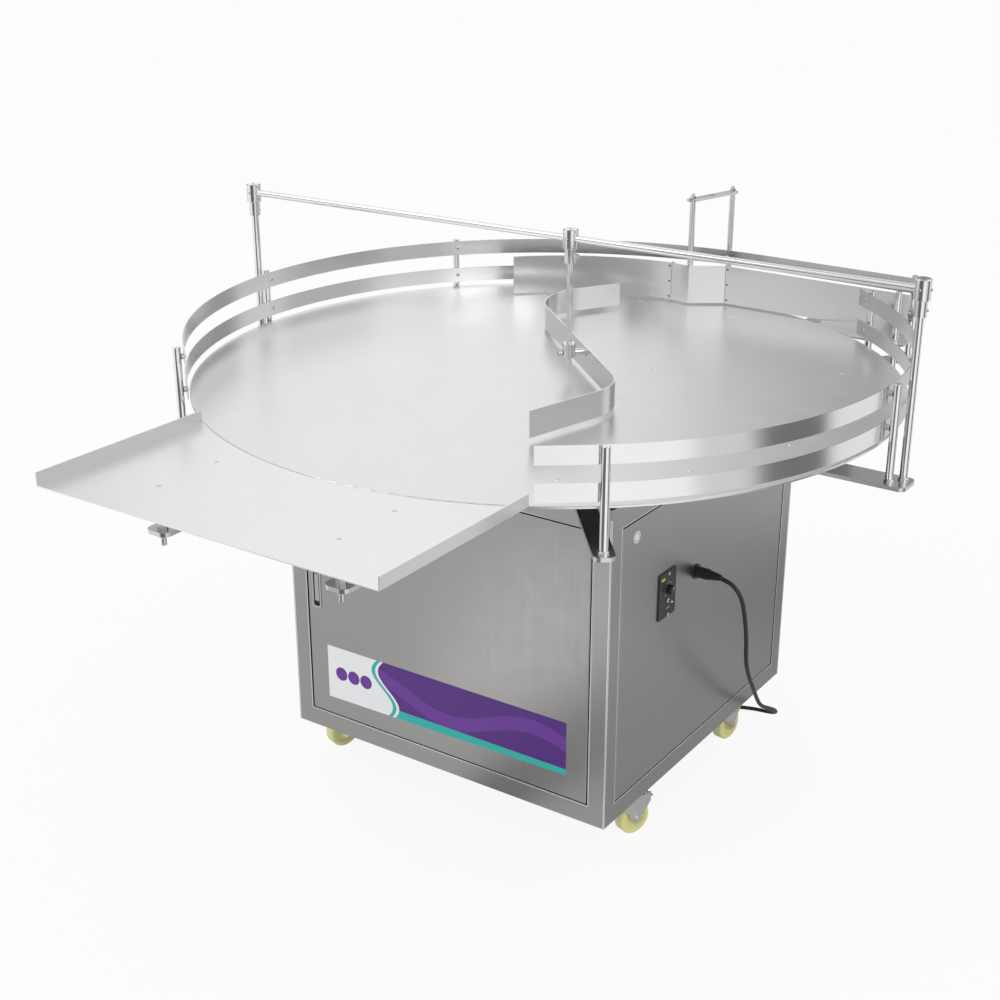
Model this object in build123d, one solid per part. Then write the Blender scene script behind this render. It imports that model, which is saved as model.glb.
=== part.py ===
from build123d import *
import os
from math import asin, cos, degrees, radians, sin, sqrt, tan

os.makedirs("parts", exist_ok=True)

# All sizes are in millimetres. The origin is on the floor, under the axis of the disc.
# +X runs along the door face towards the controller side, +Y runs from the door to the back.

# Driving sizes of the disc and the cabinet
CASTER_HEIGHT = 105.0
CABINET_SIDE = 800.0
CABINET_HEIGHT = 692.0
DISC_DIAMETER = 1500.0
DISC_THICKNESS = 5.0
DISC_CLEARANCE = 83.0
SHEET = 2.0
TOP_FLANGE = 21.0
POST_BAR = 40.0
BOTTOM_RAIL = 42.0
TOP_RAIL = 30.0
PANEL_GAP = 3.0
PANEL_DEPTH = 20.0
PANEL_SHEET = 1.5

CABINET_TOP = CASTER_HEIGHT + CABINET_HEIGHT
DISC_TOP = CABINET_TOP + DISC_CLEARANCE + DISC_THICKNESS
DISC_RADIUS = DISC_DIAMETER / 2
HALF = CABINET_SIDE / 2
FRAME_HALF = HALF - SHEET
FRAME_TOP = CABINET_TOP - SHEET
WINDOW_HALF = FRAME_HALF - POST_BAR
WINDOW_LOW = CASTER_HEIGHT + BOTTOM_RAIL
WINDOW_HIGH = CABINET_TOP - TOP_FLANGE - TOP_RAIL
PANEL_HALF = WINDOW_HALF - PANEL_GAP
PANEL_LOW = WINDOW_LOW + PANEL_GAP
PANEL_HIGH = WINDOW_HIGH - PANEL_GAP
PANEL_MIDDLE = (PANEL_LOW + PANEL_HIGH) / 2

# Drive inside the cabinet
BRIDGE_DROP = 300.0
BRIDGE_WIDTH = 220.0
BRIDGE_THICKNESS = 8.0
SPINDLE_DIAMETER = 40.0
HUB_DIAMETER = 480.0
HUB_THICKNESS = 8.0
HOUSING_DIAMETER = 120.0
HOUSING_HEIGHT = 30.0
MOTOR_OFFSET = 0.6 * HALF
MOTOR_DIAMETER = 90.0
MOTOR_LENGTH = 120.0
GEARBOX_WIDTH = 90.0
GEARBOX_HEIGHT = 60.0
MOTOR_SHAFT = 15.0
DRIVEN_PULLEY_DIAMETER = 180.0
DRIVE_PULLEY_DIAMETER = 60.0
BELT_WIDTH = 20.0
BELT_THICKNESS = 3.0
FLANGE_LIP = 5.0
BELT_DROP = 235.0
BACKING = 8.0
BACKING_DIAMETER = DISC_DIAMETER - 206.0
RUNNING_FIT = 0.05

# Guard rails, posts and arms
BAND_THICKNESS = 2.0
BAND_HEIGHT = 35.0
LOWER_LIFT = 10.0
UPPER_LIFT = 78.0
RAIL_CLEARANCE = 5.0
SPACER = 5.0
POST_DIAMETER = 16.0
POST_REACH = 116.0
TALL_REACH = 283.0
ARM_THICKNESS = 8.0
ARM_WIDTH = 40.0
TWIN_ARM_WIDTH = 66.0
ARM_END = 20.0
ARM_SEAT = 33.0
RIGHT_ARC = (-52.0, 49.0)
RIGHT_TAILS = (93.0, 85.0)
LEFT_ARC = (130.0, 231.3)
REAR_LINE = DISC_RADIUS + 42.0
REAR_END = 502.0
CROSS_BAR = 15.0
CROSS_LIFT = 295.0
KNUCKLE = 32.0
KNUCKLE_HEIGHT = 40.0
SLEEVE = 24.0
SLEEVE_HEIGHT = 32.0

RAIL_RADIUS = DISC_RADIUS + RAIL_CLEARANCE + BAND_THICKNESS / 2
POST_OFFSET = BAND_THICKNESS / 2 + SPACER + POST_DIAMETER / 2
POST_RADIUS = RAIL_RADIUS + POST_OFFSET
TALL_POST = (POST_RADIUS + 19.0, 33.0)
ARM_TOP = CABINET_TOP + ARM_THICKNESS
SIDE_ROOT = 0.75 * HALF
CORNER_ROOT = HALF
BACK_ROOT = 0.9 * HALF
OUTLET_ROOT = 1.1 * HALF
SCREW_DIAMETER = 5.0
SPACER_DIAMETER = 12.0
SEAT_GAP = 0.02
BOLT = 8.0
BOLT_HOLE = 9.0
BOLT_HEAD = 13.0

# Guide band that hangs from the cross bar
GUIDE_X = 46.0
GUIDE_ROD = 12.0
GUIDE_BAND_HEIGHT = 54.0
GUIDE_BAND_LIFT = 8.0
GUIDE_CORNERS = [(-142, 527), (-254, 324), (263, -145), (204, -384)]
GUIDE_BENDS = [150.0, 110.0]
CLAMP_DIAMETER = 28.0
CLAMP_LOW = 42.0
CLAMP_HEIGHT = 31.0
CLAMP_STUB = 14.0
ROD_TOP = 262.0
ROD_END = 25.0
THUMB_HEAD = 12.0
THUMB_LENGTH = 9.0

# Outlet and its bending gate
WALL_LOW = 4.0
WALL_HEIGHT = 92.0
WALL_Y = DISC_RADIUS - 47.0
WALL_END = 522.0
WALL_FOOT = 30.0
GATE_HINGE = (52.0, WALL_Y)
GATE_FOLD = (-22.0, WALL_Y - 50.0)
CURVE_HINGE = (-72.0, WALL_Y - 45.0)
CURVE_END = (-421.0, WALL_Y - 221.0)
CURVE_RADIUS = 522.0
BARREL = 8.0
HINGE_PIN = 4.0
KNUCKLES = 5
GATE_ROD_DIAMETER = 14.0
GATE_BAR_LIFT = 252.0
GATE_BAR_WIDTH = 25.0
GATE_BAR_THICKNESS = 5.0
SLOT_LENGTH = 90.0
SLOT_WIDTH = 11.0
TRANSFER_THICKNESS = 3.0
TRANSFER_DROP = 1.0
TRANSFER_X = (270.0, 545.0)
TRANSFER_Y = (WALL_Y - 75.0, WALL_Y + 32.0)
OUTLET_POST = (517.0, WALL_Y - 57.0)
STANDOFF = (424.0, WALL_Y + 16.0)

# Infeed tray
TRAY_WIDTH = 760.0
TRAY_FRONT = DISC_RADIUS + 303.0
TRAY_FLANGE = 24.0
TRAY_GAP = 2.0
TRAY_BAR_WIDTH = 50.0
TRAY_BAR_X = 203.0
TRAY_BAR_REACH = TRAY_FRONT - 98.0
TRAY_STUD_ROWS = (20.0 - TRAY_BAR_REACH, -DISC_RADIUS - 42.0)
TRAY_STUD = 10.0
TRAY_NUT = 17.0

# Door and its latch
DOOR_PIN = 8.0
DOOR_PIN_INSET = 8.5
LATCH_WIDTH = 25.0
LATCH_HEIGHT = 98.0
LATCH_X = 23.5 - PANEL_HALF
LEVER_WIDTH = 11.0
LEVER_HEIGHT = 64.0

# Controller, gland and cord
CONTROL_PLACE = (-177.0, CABINET_TOP - 256.0)
CONTROL_SIZE = (67.0, 101.0)
CONTROL_DEPTH = 34.0
KNOB_PLACE = (CONTROL_PLACE[0] + 4.0, CONTROL_PLACE[1] + 9.0)
KNOB_DIAMETER = 20.0
KNOB_DEPTH = 15.0
SWITCH_PLACE = (CONTROL_PLACE[0] + 3.0, CONTROL_PLACE[1] - 16.0)
SWITCH_BORE = 6.0
GLAND_PLACE = (CONTROL_PLACE[0] + 126.0, CONTROL_PLACE[1] + 1.0)
GLAND_DIAMETER = 24.0
GLAND_LENGTH = 30.0
CORD_DIAMETER = 9.0
COIL_CENTRE = (195.0, 250.0)
COIL_TURNS = 6
PLUG_SIZE = (52.0, 36.0, 27.0)
PLUG_ANGLE = 120.0

# Casters
WHEEL_DIAMETER = 75.0
WHEEL_WIDTH = 28.0
CASTER_TRAIL = 34.0
CASTER_X = FRAME_HALF - 43.0
CASTER_Y = FRAME_HALF - 136.0
CASTER_AXLE = 8.0
FORK_SHEET = 2.5
FORK_GAP = 32.0
CASTERS = {
    "front_left": (-CASTER_X, -CASTER_Y, 252.0),
    "front_right": (CASTER_X, -CASTER_Y, 70.0),
    "back_right": (CASTER_X, CASTER_Y, 263.0),
    "back_left": (-CASTER_X, CASTER_Y, 120.0),
}


def polar(radius, angle, z=0.0):
    """A point at a radius and an angle in degrees about the disc's axis."""
    return Vector(radius * cos(radians(angle)), radius * sin(radians(angle)), z)


def block(x, y, z):
    """A box given by its limits along X, Y and Z."""
    size = (x[1] - x[0], y[1] - y[0], z[1] - z[0])
    centre = ((x[0] + x[1]) / 2, (y[0] + y[1]) / 2, (z[0] + z[1]) / 2)
    return Pos(*centre) * Box(*size)


def rod(place, low, high, diameter):
    """A round bar along Z."""
    x, y = tuple(place)[:2]
    return Pos(x, y, (low + high) / 2) * Cylinder(diameter / 2, high - low)


def cross_rod(place, direction, length, diameter):
    """A round bar that starts at a place and runs along a direction."""
    plane = Plane(origin=place, z_dir=direction)
    return plane * Pos(0, 0, length / 2) * Cylinder(diameter / 2, length)


def hexagon(place, low, high, width):
    """A hexagonal nut or bolt head along Z, given by its width across flats."""
    x, y = tuple(place)[:2]
    face = Pos(x, y, low) * RegularPolygon(width / 2, 6, major_radius=False)
    return extrude(face, high - low)


def strip(path, low, height, thickness):
    """A thin upright band that follows a flat path."""
    start = path @ 0
    section = Plane(origin=start, x_dir=Vector(0, 0, 1), z_dir=path % 0)
    band = sweep(section * Rectangle(height, thickness), path=path)
    return Pos(0, 0, low + height / 2) * band


def save(name, *solids):
    """Write one node of separate solids."""
    shape = solids[0] if len(solids) == 1 else Compound(children=list(solids))
    export_step(shape, f"parts/{name}.step")


# Cabinet

def tube(x, y, z, axis):
    """A square tube given by its limits, hollow along one axis."""
    wall = {name: SHEET for name in "XYZ"}
    wall[axis] = -1
    x_core = (x[0] + wall["X"], x[1] - wall["X"])
    y_core = (y[0] + wall["Y"], y[1] - wall["Y"])
    z_core = (z[0] + wall["Z"], z[1] - wall["Z"])
    return block(x, y, z) - block(x_core, y_core, z_core)


def frame_post():
    """Corner post, closed at its ends except for a drain hole."""
    side = (WINDOW_HALF, FRAME_HALF)
    core = (WINDOW_HALF + SHEET, FRAME_HALF - SHEET)
    shape = block(side, side, (CASTER_HEIGHT, FRAME_TOP))
    shape = fillet(shape.edges().filter_by(Axis.Z).sort_by(Axis.X)[-1:], 3)
    shape -= block(core, core, (CASTER_HEIGHT + SHEET, FRAME_TOP - SHEET))
    middle = (WINDOW_HALF + FRAME_HALF) / 2
    return shape - rod((middle, middle), CASTER_HEIGHT - 1, CASTER_HEIGHT + SHEET + 1, 8)


def cabinet_frame():
    """Welded frame of square tube, with its floor pan, gussets, side rails and door pins."""
    span = (-WINDOW_HALF, WINDOW_HALF)
    front = (-FRAME_HALF, -WINDOW_HALF)
    seat = CABINET_TOP - BRIDGE_DROP - BRIDGE_THICKNESS
    inner = FRAME_HALF - PANEL_DEPTH - SHEET
    solids = []
    for turn in (0, 90, 180, 270):
        turned = Rot(0, 0, turn)
        solids.append(turned * frame_post())
        solids.append(turned * tube(span, front, (CASTER_HEIGHT, WINDOW_LOW), "X"))
        solids.append(turned * tube(span, front, (WINDOW_HIGH, FRAME_TOP), "X"))
    for turn in (0, 180):
        rail_x = (inner - POST_BAR, inner)
        solids.append(Rot(0, 0, turn) * tube(rail_x, span, (seat - POST_BAR, seat), "Y"))
    solids.append(block(span, span, (CASTER_HEIGHT, CASTER_HEIGHT + SHEET)))
    return solids + gussets() + hinge_pins()


def gussets():
    """Triangular corner plates behind the panels, which the panels are screwed to."""
    leg = 50.0
    depth = FRAME_HALF - PANEL_DEPTH
    plates = []
    for turn in (90, 180, 270):
        for side in (-1, 1):
            for end, level in ((1, WINDOW_LOW), (-1, WINDOW_HIGH)):
                corner = (side * WINDOW_HALF, level)
                points = [corner, (corner[0] - side * leg, level), (corner[0], level + end * leg)]
                face = make_face(Polyline(*points, close=True))
                plate = extrude(Plane(origin=(0, -depth + SHEET, 0), x_dir=(1, 0, 0),
                                      z_dir=(0, -1, 0)) * face, SHEET)
                plates.append(Rot(0, 0, turn) * plate)
    return plates


def door_axis():
    """The upright axis that the door turns about."""
    return (PANEL_HALF - DOOR_PIN_INSET, -FRAME_HALF + DOOR_PIN_INSET)


def hinge_pins():
    """Two pins welded into the top and bottom rails, on which the door turns."""
    reach = PANEL_GAP + PANEL_SHEET + 6
    low = rod(door_axis(), WINDOW_LOW, WINDOW_LOW + reach, DOOR_PIN)
    high = rod(door_axis(), WINDOW_HIGH - reach, WINDOW_HIGH, DOOR_PIN)
    return [low, high]


def cabinet_top_plate():
    """Folded top cover with a hole for the spindle."""
    plate = block((-HALF, HALF), (-HALF, HALF), (CABINET_TOP - TOP_FLANGE, CABINET_TOP))
    plate = fillet(plate.edges().filter_by(Axis.Z), 3)
    inner = (-FRAME_HALF, FRAME_HALF)
    plate -= block(inner, inner, (CABINET_TOP - TOP_FLANGE - 1, CABINET_TOP - SHEET))
    return plate - rod((0, 0), CABINET_TOP - 10, CABINET_TOP + 1, SPINDLE_DIAMETER + 12)


def panel(depth=PANEL_DEPTH):
    """A flush panel folded from sheet, facing -Y in its window, open at the back."""
    face = -FRAME_HALF
    wide = (-PANEL_HALF, PANEL_HALF)
    shell = block(wide, (face, face + depth), (PANEL_LOW, PANEL_HIGH))
    shell = fillet(shell.edges().filter_by(Axis.Z).group_by(Axis.Y)[0], 2)
    t = PANEL_SHEET
    return shell - block((wide[0] + t, wide[1] - t), (face + t, face + depth + 1),
                         (PANEL_LOW + t, PANEL_HIGH - t))


def side_panels():
    """The left and back panels, which are the same."""
    return [Rot(0, 0, -90) * panel(), Rot(0, 0, 180) * panel()]


def right_panel():
    """The controller side panel, cut for the controller and the cord gland."""
    shell = Rot(0, 0, 90) * panel()
    width, height = CONTROL_SIZE
    y, z = CONTROL_PLACE
    reach = (FRAME_HALF - 5, FRAME_HALF + 5)
    shell -= block(reach, (y - width / 2 + 6, y + width / 2 - 6),
                   (z - height / 2 + 14, z + height / 2 - 14))
    gland = Vector(FRAME_HALF - 5, *GLAND_PLACE)
    return shell - cross_rod(gland, Vector(1, 0, 0), 10, GLAND_DIAMETER - 4)


def door_panel():
    """Door, folded like the panels, with pin holes and an opening for the latch."""
    shell = panel()
    hole = DOOR_PIN + 2 * RUNNING_FIT
    shell -= rod(door_axis(), PANEL_LOW - 1, PANEL_LOW + PANEL_SHEET + 1, hole)
    shell -= rod(door_axis(), PANEL_HIGH - PANEL_SHEET - 1, PANEL_HIGH + 1, hole)
    half_width = LATCH_WIDTH / 2 - 2
    half_height = LATCH_HEIGHT / 2 - 2
    shell -= block((LATCH_X - half_width, LATCH_X + half_width),
                   (-FRAME_HALF - 1, -FRAME_HALF + PANEL_SHEET + 0.5),
                   (PANEL_MIDDLE - half_height, PANEL_MIDDLE + half_height))
    return shell


def latch_plane(out):
    """A plane on the door's face at the latch, moved outwards."""
    return Plane(origin=(LATCH_X, -FRAME_HALF - out, PANEL_MIDDLE), x_dir=(1, 0, 0), z_dir=(0, -1, 0))


def door_latch_housing():
    """Flush cup for the latch, with a thin rim on the door's face."""
    rim = extrude(latch_plane(0) * RectangleRounded(LATCH_WIDTH, LATCH_HEIGHT, 5), 1.2)
    cup = extrude(latch_plane(-16) * RectangleRounded(LATCH_WIDTH - 4, LATCH_HEIGHT - 4, 4), 16)
    pocket = extrude(latch_plane(-14) * RectangleRounded(LATCH_WIDTH - 9, LATCH_HEIGHT - 12, 3), 20)
    return rim + cup - pocket


def door_latch_lever():
    """Lever that lies in the cup and pulls out about a pin at its top."""
    bar = extrude(latch_plane(-4) * RectangleRounded(LEVER_WIDTH, LEVER_HEIGHT, 3), 4)
    eye = cross_rod(lever_pivot() - Vector(LEVER_WIDTH / 2, 0, 0), Vector(1, 0, 0), LEVER_WIDTH, 8)
    pin = cross_rod(lever_pivot() - Vector((LATCH_WIDTH - 9.6) / 2, 0, 0), Vector(1, 0, 0),
                    LATCH_WIDTH - 9.6, 4)
    return bar + eye + pin


def lever_pivot():
    """The middle of the latch lever's pin."""
    return Vector(LATCH_X, -FRAME_HALF + 4, PANEL_MIDDLE + LEVER_HEIGHT / 2 - 4)


# Drive

def belt_level():
    """Height of the belt's middle."""
    return CABINET_TOP - BELT_DROP


def drive_bridge():
    """Folded cross plate that carries the lower bearing and the gear motor."""
    top = CABINET_TOP - BRIDGE_DROP
    half = FRAME_HALF - PANEL_DEPTH - SHEET
    wide = (-BRIDGE_WIDTH / 2, BRIDGE_WIDTH / 2)
    plate = block((-half, half), wide, (top - BRIDGE_THICKNESS, top))
    plate -= rod((0, 0), top - 20, top + 1, SPINDLE_DIAMETER + 12)
    return plate - rod((-MOTOR_OFFSET, 0), top - 20, top + 1, MOTOR_SHAFT + 20)


def bearing_housing(seat):
    """Round flange housing with a raised boss, bored for the spindle."""
    points = [(SPINDLE_DIAMETER / 2 + RUNNING_FIT, 0), (HOUSING_DIAMETER / 2, 0),
              (HOUSING_DIAMETER / 2, 10), (SPINDLE_DIAMETER / 2 + 17, 13),
              (SPINDLE_DIAMETER / 2 + 13, HOUSING_HEIGHT),
              (SPINDLE_DIAMETER / 2 + RUNNING_FIT, HOUSING_HEIGHT)]
    profile = Plane.XZ * make_face(Polyline(*points, close=True))
    housing = revolve(profile, Axis.Z)
    for turn in range(45, 360, 90):
        housing -= rod(polar(HOUSING_DIAMETER / 2 - 10, turn), -1, 11, BOLT_HOLE)
    return Pos(0, 0, seat) * housing


def main_spindle():
    """Spindle with its hub flange under the disc."""
    hub_top = DISC_TOP - DISC_THICKNESS
    low = CABINET_TOP - BRIDGE_DROP - 25
    shaft = rod((0, 0), low, hub_top, SPINDLE_DIAMETER)
    shaft = chamfer(shaft.edges().group_by(Axis.Z)[0], 1.5)
    hub = rod((0, 0), hub_top - HUB_THICKNESS, hub_top, HUB_DIAMETER)
    boss = rod((0, 0), hub_top - 34, hub_top - HUB_THICKNESS, SPINDLE_DIAMETER + 40)
    return shaft + hub + boss


def disc_backing():
    """Backing plate that stiffens the disc from below."""
    top = DISC_TOP - DISC_THICKNESS
    plate = rod((0, 0), top - BACKING, top, BACKING_DIAMETER)
    plate = chamfer(plate.edges().group_by(Axis.Z)[0], 2)
    return plate - rod((0, 0), top - 20, top + 1, HUB_DIAMETER)


def turntable_disc():
    """Flat round disc with a softened rim."""
    plate = rod((0, 0), DISC_TOP - DISC_THICKNESS, DISC_TOP, DISC_DIAMETER)
    return fillet(plate.edges().group_by(Axis.Z)[-1], 1.5)


def pulley(place, diameter, bore):
    """Flat belt pulley with a lip at each side."""
    half = BELT_WIDTH / 2 + 1
    lip = diameter / 2 + FLANGE_LIP
    points = [(bore / 2, -half - 3), (lip, -half - 3), (lip, -half), (diameter / 2, -half),
              (diameter / 2, half), (lip, half), (lip, half + 3), (bore / 2, half + 3)]
    wheel = revolve(Plane.XZ * make_face(Polyline(*points, close=True)), Axis.Z)
    return Pos(place[0], place[1], belt_level()) * wheel


def drive_pulley():
    """Small pulley on the gear motor's shaft, with a hub."""
    wheel = pulley((-MOTOR_OFFSET, 0), DRIVE_PULLEY_DIAMETER, MOTOR_SHAFT + 2 * RUNNING_FIT)
    low = belt_level() - BELT_WIDTH / 2 - 16
    hub = rod((-MOTOR_OFFSET, 0), low, low + 12, MOTOR_SHAFT + 15)
    return wheel + (hub - rod((-MOTOR_OFFSET, 0), low, low + 12, MOTOR_SHAFT + 2 * RUNNING_FIT))


def belt_outline(extra):
    """Outline round both pulleys, grown by a distance."""
    big = Circle(DRIVEN_PULLEY_DIAMETER / 2 + extra)
    small = Pos(-MOTOR_OFFSET, 0) * Circle(DRIVE_PULLEY_DIAMETER / 2 + extra)
    return make_hull(big.edges() + small.edges())


def drive_belt():
    """Flat belt round the two pulleys."""
    gap = 0.3
    ring = belt_outline(gap + BELT_THICKNESS) - belt_outline(gap)
    return extrude(Pos(0, 0, belt_level() - BELT_WIDTH / 2) * ring, BELT_WIDTH)


def gear_motor():
    """Square gearbox with an upright shaft and a finned motor below it."""
    seat = CABINET_TOP - BRIDGE_DROP - BRIDGE_THICKNESS
    place = (-MOTOR_OFFSET, 0)
    half = GEARBOX_WIDTH / 2
    box_limits = (-MOTOR_OFFSET - half, -MOTOR_OFFSET + half)
    box = block(box_limits, (-half, half), (seat - GEARBOX_HEIGHT, seat))
    box = fillet(box.edges().filter_by(Axis.Z), 8)
    low = seat - GEARBOX_HEIGHT - MOTOR_LENGTH
    body = rod(place, low, seat - GEARBOX_HEIGHT, MOTOR_DIAMETER)
    body = chamfer(body.edges().group_by(Axis.Z)[0], 5)
    for ring in range(5):
        level = low + 25 + ring * 18
        body -= rod(place, level, level + 5, MOTOR_DIAMETER + 2) - rod(place, level, level + 5,
                                                                      MOTOR_DIAMETER - 8)
    shaft = rod(place, seat, belt_level() + BELT_WIDTH / 2 + 4, MOTOR_SHAFT)
    return box + body + shaft


# Guard rails

def right_path():
    """Arc of the front and right rail, with a straight tail at each end."""
    first, last = RIGHT_ARC
    start = polar(RAIL_RADIUS, first)
    end = polar(RAIL_RADIUS, last)
    tail_in = Line(start - RIGHT_TAILS[0] * polar(1, first + 90), start)
    tail_out = Line(end, end + RIGHT_TAILS[1] * polar(1, last + 90))
    return Wire([tail_in, CenterArc((0, 0), RAIL_RADIUS, first, last - first), tail_out])


def easing_radius():
    """Radius of the arc that eases the left rail into the straight rear line."""
    lift = sin(radians(LEFT_ARC[0]))
    return (REAR_LINE - RAIL_RADIUS * lift) / (1 - lift)


def easing_centre():
    """Centre of the easing arc, on the ray through the disc's axis."""
    return polar(RAIL_RADIUS - easing_radius(), LEFT_ARC[0])


def left_path():
    """Arc of the left rail, eased into the straight rear line."""
    first, last = LEFT_ARC
    centre = easing_centre()
    top = centre + Vector(0, easing_radius(), 0)
    line = Line(Vector(REAR_END, REAR_LINE, 0), top)
    ease = CenterArc(centre, easing_radius(), 90, first - 90)
    return Wire([line, ease, CenterArc((0, 0), RAIL_RADIUS, first, last - first)])


def rail_posts_table():
    """Places of the short rail posts, each with the way its screws point."""
    tail_angle = RIGHT_ARC[1]
    tail_post = polar(POST_RADIUS, tail_angle) + 50 * polar(1, tail_angle + 90)
    twin_left = 182.2
    return {
        "front": (polar(POST_RADIUS, -50), -50),
        "right": (polar(POST_RADIUS, 0.6), 0.6),
        "outlet_inner": (tail_post, tail_angle),
        "outlet_end": (Vector(REAR_END - 9, REAR_LINE + POST_OFFSET, 0), 90),
        "back_left": (polar(POST_RADIUS, 141), 141),
        "left": (polar(POST_RADIUS, twin_left), twin_left),
        "front_left": (polar(POST_RADIUS, 230), 230),
    }


def gate_post_place():
    """Place of the tall gate post behind the easing arc, and the way its screws point."""
    angle = 95.5
    offset = BAND_THICKNESS / 2 + SPACER + GATE_ROD_DIAMETER / 2
    return easing_centre() + polar(easing_radius() + offset, angle), angle


def spacer_places():
    """Every rail fixing: a point on the rail's middle line and its direction."""
    places = []
    posts = list(rail_posts_table().values())
    for place, angle in posts:
        places.append((place - POST_OFFSET * polar(1, angle), angle))
    gate, angle = gate_post_place()
    places.append((gate - (BAND_THICKNESS / 2 + SPACER + GATE_ROD_DIAMETER / 2) * polar(1, angle), angle))
    return places


def band_middles():
    """Heights of the middle of each band."""
    middle = DISC_TOP + BAND_HEIGHT / 2
    return (middle + LOWER_LIFT, middle + UPPER_LIFT)


def rail(path, lift):
    """One guard rail band."""
    return strip(path, DISC_TOP + lift, BAND_HEIGHT, BAND_THICKNESS)


def rail_spacers():
    """Round spacers between the bands and their posts."""
    solids = []
    for place, angle in spacer_places():
        outward = polar(1, angle)
        for level in band_middles():
            start = Vector(place.X, place.Y, level) + (BAND_THICKNESS / 2 + SEAT_GAP) * outward
            solids.append(cross_rod(start, outward, SPACER - SEAT_GAP, SPACER_DIAMETER))
    return solids


def post(place, top, diameter):
    """A round post on an arm, softened at its top."""
    bar = rod(place, ARM_TOP, top, diameter)
    return chamfer(bar.edges().group_by(Axis.Z)[-1], 1.2)


def rail_posts():
    """The short posts, of which the last stands free at the outlet."""
    top = DISC_TOP + POST_REACH
    posts = [post(place, top, POST_DIAMETER) for place, angle in rail_posts_table().values()]
    return posts + [post(OUTLET_POST, top, POST_DIAMETER)]


def tall_places():
    """The two tall posts, opposite each other across the disc."""
    return [Vector(*TALL_POST), Vector(-TALL_POST[0], -TALL_POST[1])]


def tall_posts():
    """Two tall posts for the cross bar, and the gate post with its stud."""
    solids = [post(place, DISC_TOP + TALL_REACH, POST_DIAMETER) for place in tall_places()]
    gate, angle = gate_post_place()
    bar = post(gate, DISC_TOP + GATE_BAR_LIFT, GATE_ROD_DIAMETER)
    return solids + [bar + gate_stud(gate)]


def arm(start, end, width):
    """A flat arm from the cabinet's top to its posts, with rounded outer corners."""
    start = Vector(*start)
    end = Vector(*end)
    length = (end - start).length
    plane = Plane(origin=Vector(start.X, start.Y, CABINET_TOP), x_dir=end - start, z_dir=(0, 0, 1))
    face = Pos(length / 2, 0) * Rectangle(length, width)
    far = face.vertices().group_by(Axis.X)[-1]
    return extrude(plane * fillet(far, 14), ARM_THICKNESS)


def radial_arm(angle, inner, posts, width=ARM_WIDTH, shift=0.0):
    """An arm along a radius out past its posts, moved sideways by a shift."""
    side = shift * polar(1, angle + 90)
    reach = max(Vector(place.X, place.Y, 0).dot(polar(1, angle)) for place in posts) + ARM_END
    return arm(polar(inner, angle) + side, polar(reach, angle) + side, width)


def rail_arms():
    """All the arms that carry the rail posts."""
    table = {name: place for name, (place, angle) in rail_posts_table().items()}
    right_tall, left_tall = tall_places()
    gate, angle = gate_post_place()
    outlet = Vector(*OUTLET_POST)
    standoff = Vector(*STANDOFF)
    far_post = table["outlet_end"]
    heading = (far_post - standoff).normalized()
    root = far_post - (far_post.Y - HALF + ARM_SEAT) / heading.Y * heading
    return [
        radial_arm(-50, CORNER_ROOT, [table["front"]]),
        radial_arm(0, SIDE_ROOT, [table["right"], right_tall], TWIN_ARM_WIDTH, 18),
        radial_arm(52, OUTLET_ROOT, [table["outlet_inner"], outlet], TWIN_ARM_WIDTH - 6),
        radial_arm(90, SIDE_ROOT, [gate], shift=-gate.X),
        radial_arm(141, BACK_ROOT, [table["back_left"]]),
        radial_arm(180, SIDE_ROOT, [table["left"], left_tall], TWIN_ARM_WIDTH - 8, 31),
        radial_arm(230, CORNER_ROOT, [table["front_left"]]),
        arm(root, far_post + ARM_END * heading, ARM_WIDTH),
    ]


def collar(place, low, height, diameter, bore):
    """A plain collar round a post."""
    return rod(place, low, low + height, diameter) - rod(place, low - 1, low + height + 1, bore)


def plate_fixings():
    """The collars and the stand-off that hold the transfer plate."""
    plate_top = DISC_TOP - TRANSFER_DROP
    plate_low = plate_top - TRANSFER_THICKNESS
    return [
        collar(OUTLET_POST, plate_low - 8, 8, POST_DIAMETER + 12, POST_DIAMETER),
        collar(OUTLET_POST, plate_top, 8, POST_DIAMETER + 12, POST_DIAMETER),
        rod(STANDOFF, ARM_TOP, plate_low, 14),
    ]


# Cross bar and guide

def bar_direction():
    """The way the cross bar points, level, from the left post to the right one."""
    return Vector(*TALL_POST).normalized()


def bar_point(x, level=CROSS_LIFT):
    """A point above the cross bar's line at a given X."""
    return Vector(x, x * TALL_POST[1] / TALL_POST[0], DISC_TOP + level)


def knuckle(place, bar_hole, rod_hole, rod_depth):
    """Turned clamp: a wide head for the cross bar over a narrower sleeve for an upright."""
    head_low = DISC_TOP + CROSS_LIFT - KNUCKLE_HEIGHT / 2
    head = rod(place, head_low, head_low + KNUCKLE_HEIGHT, KNUCKLE)
    head = chamfer(head.edges().group_by(Axis.Z)[-1], 2)
    body = head + rod(place, head_low - SLEEVE_HEIGHT, head_low, SLEEVE)
    body -= rod(place, head_low - SLEEVE_HEIGHT - 1, rod_depth, rod_hole)
    return body - bar_hole


def bar_end_knuckles():
    """The two knuckles on the tall posts, bored blind for the ends of the cross bar."""
    solids = []
    depth = DISC_TOP + TALL_REACH
    for side, place in zip((1, -1), tall_places()):
        inward = -side * bar_direction()
        start = Vector(place.X, place.Y, DISC_TOP + CROSS_LIFT) - 8 * inward
        hole = cross_rod(start, inward, KNUCKLE, CROSS_BAR)
        solids.append(knuckle(place, hole, POST_DIAMETER, depth))
    return solids


def cross_bar():
    """Round bar across the table."""
    right, left = tall_places()
    start = Vector(left.X, left.Y, DISC_TOP + CROSS_LIFT) - 8 * bar_direction()
    length = (right - left).length + 16
    return cross_rod(start, bar_direction(), length, CROSS_BAR)


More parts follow.
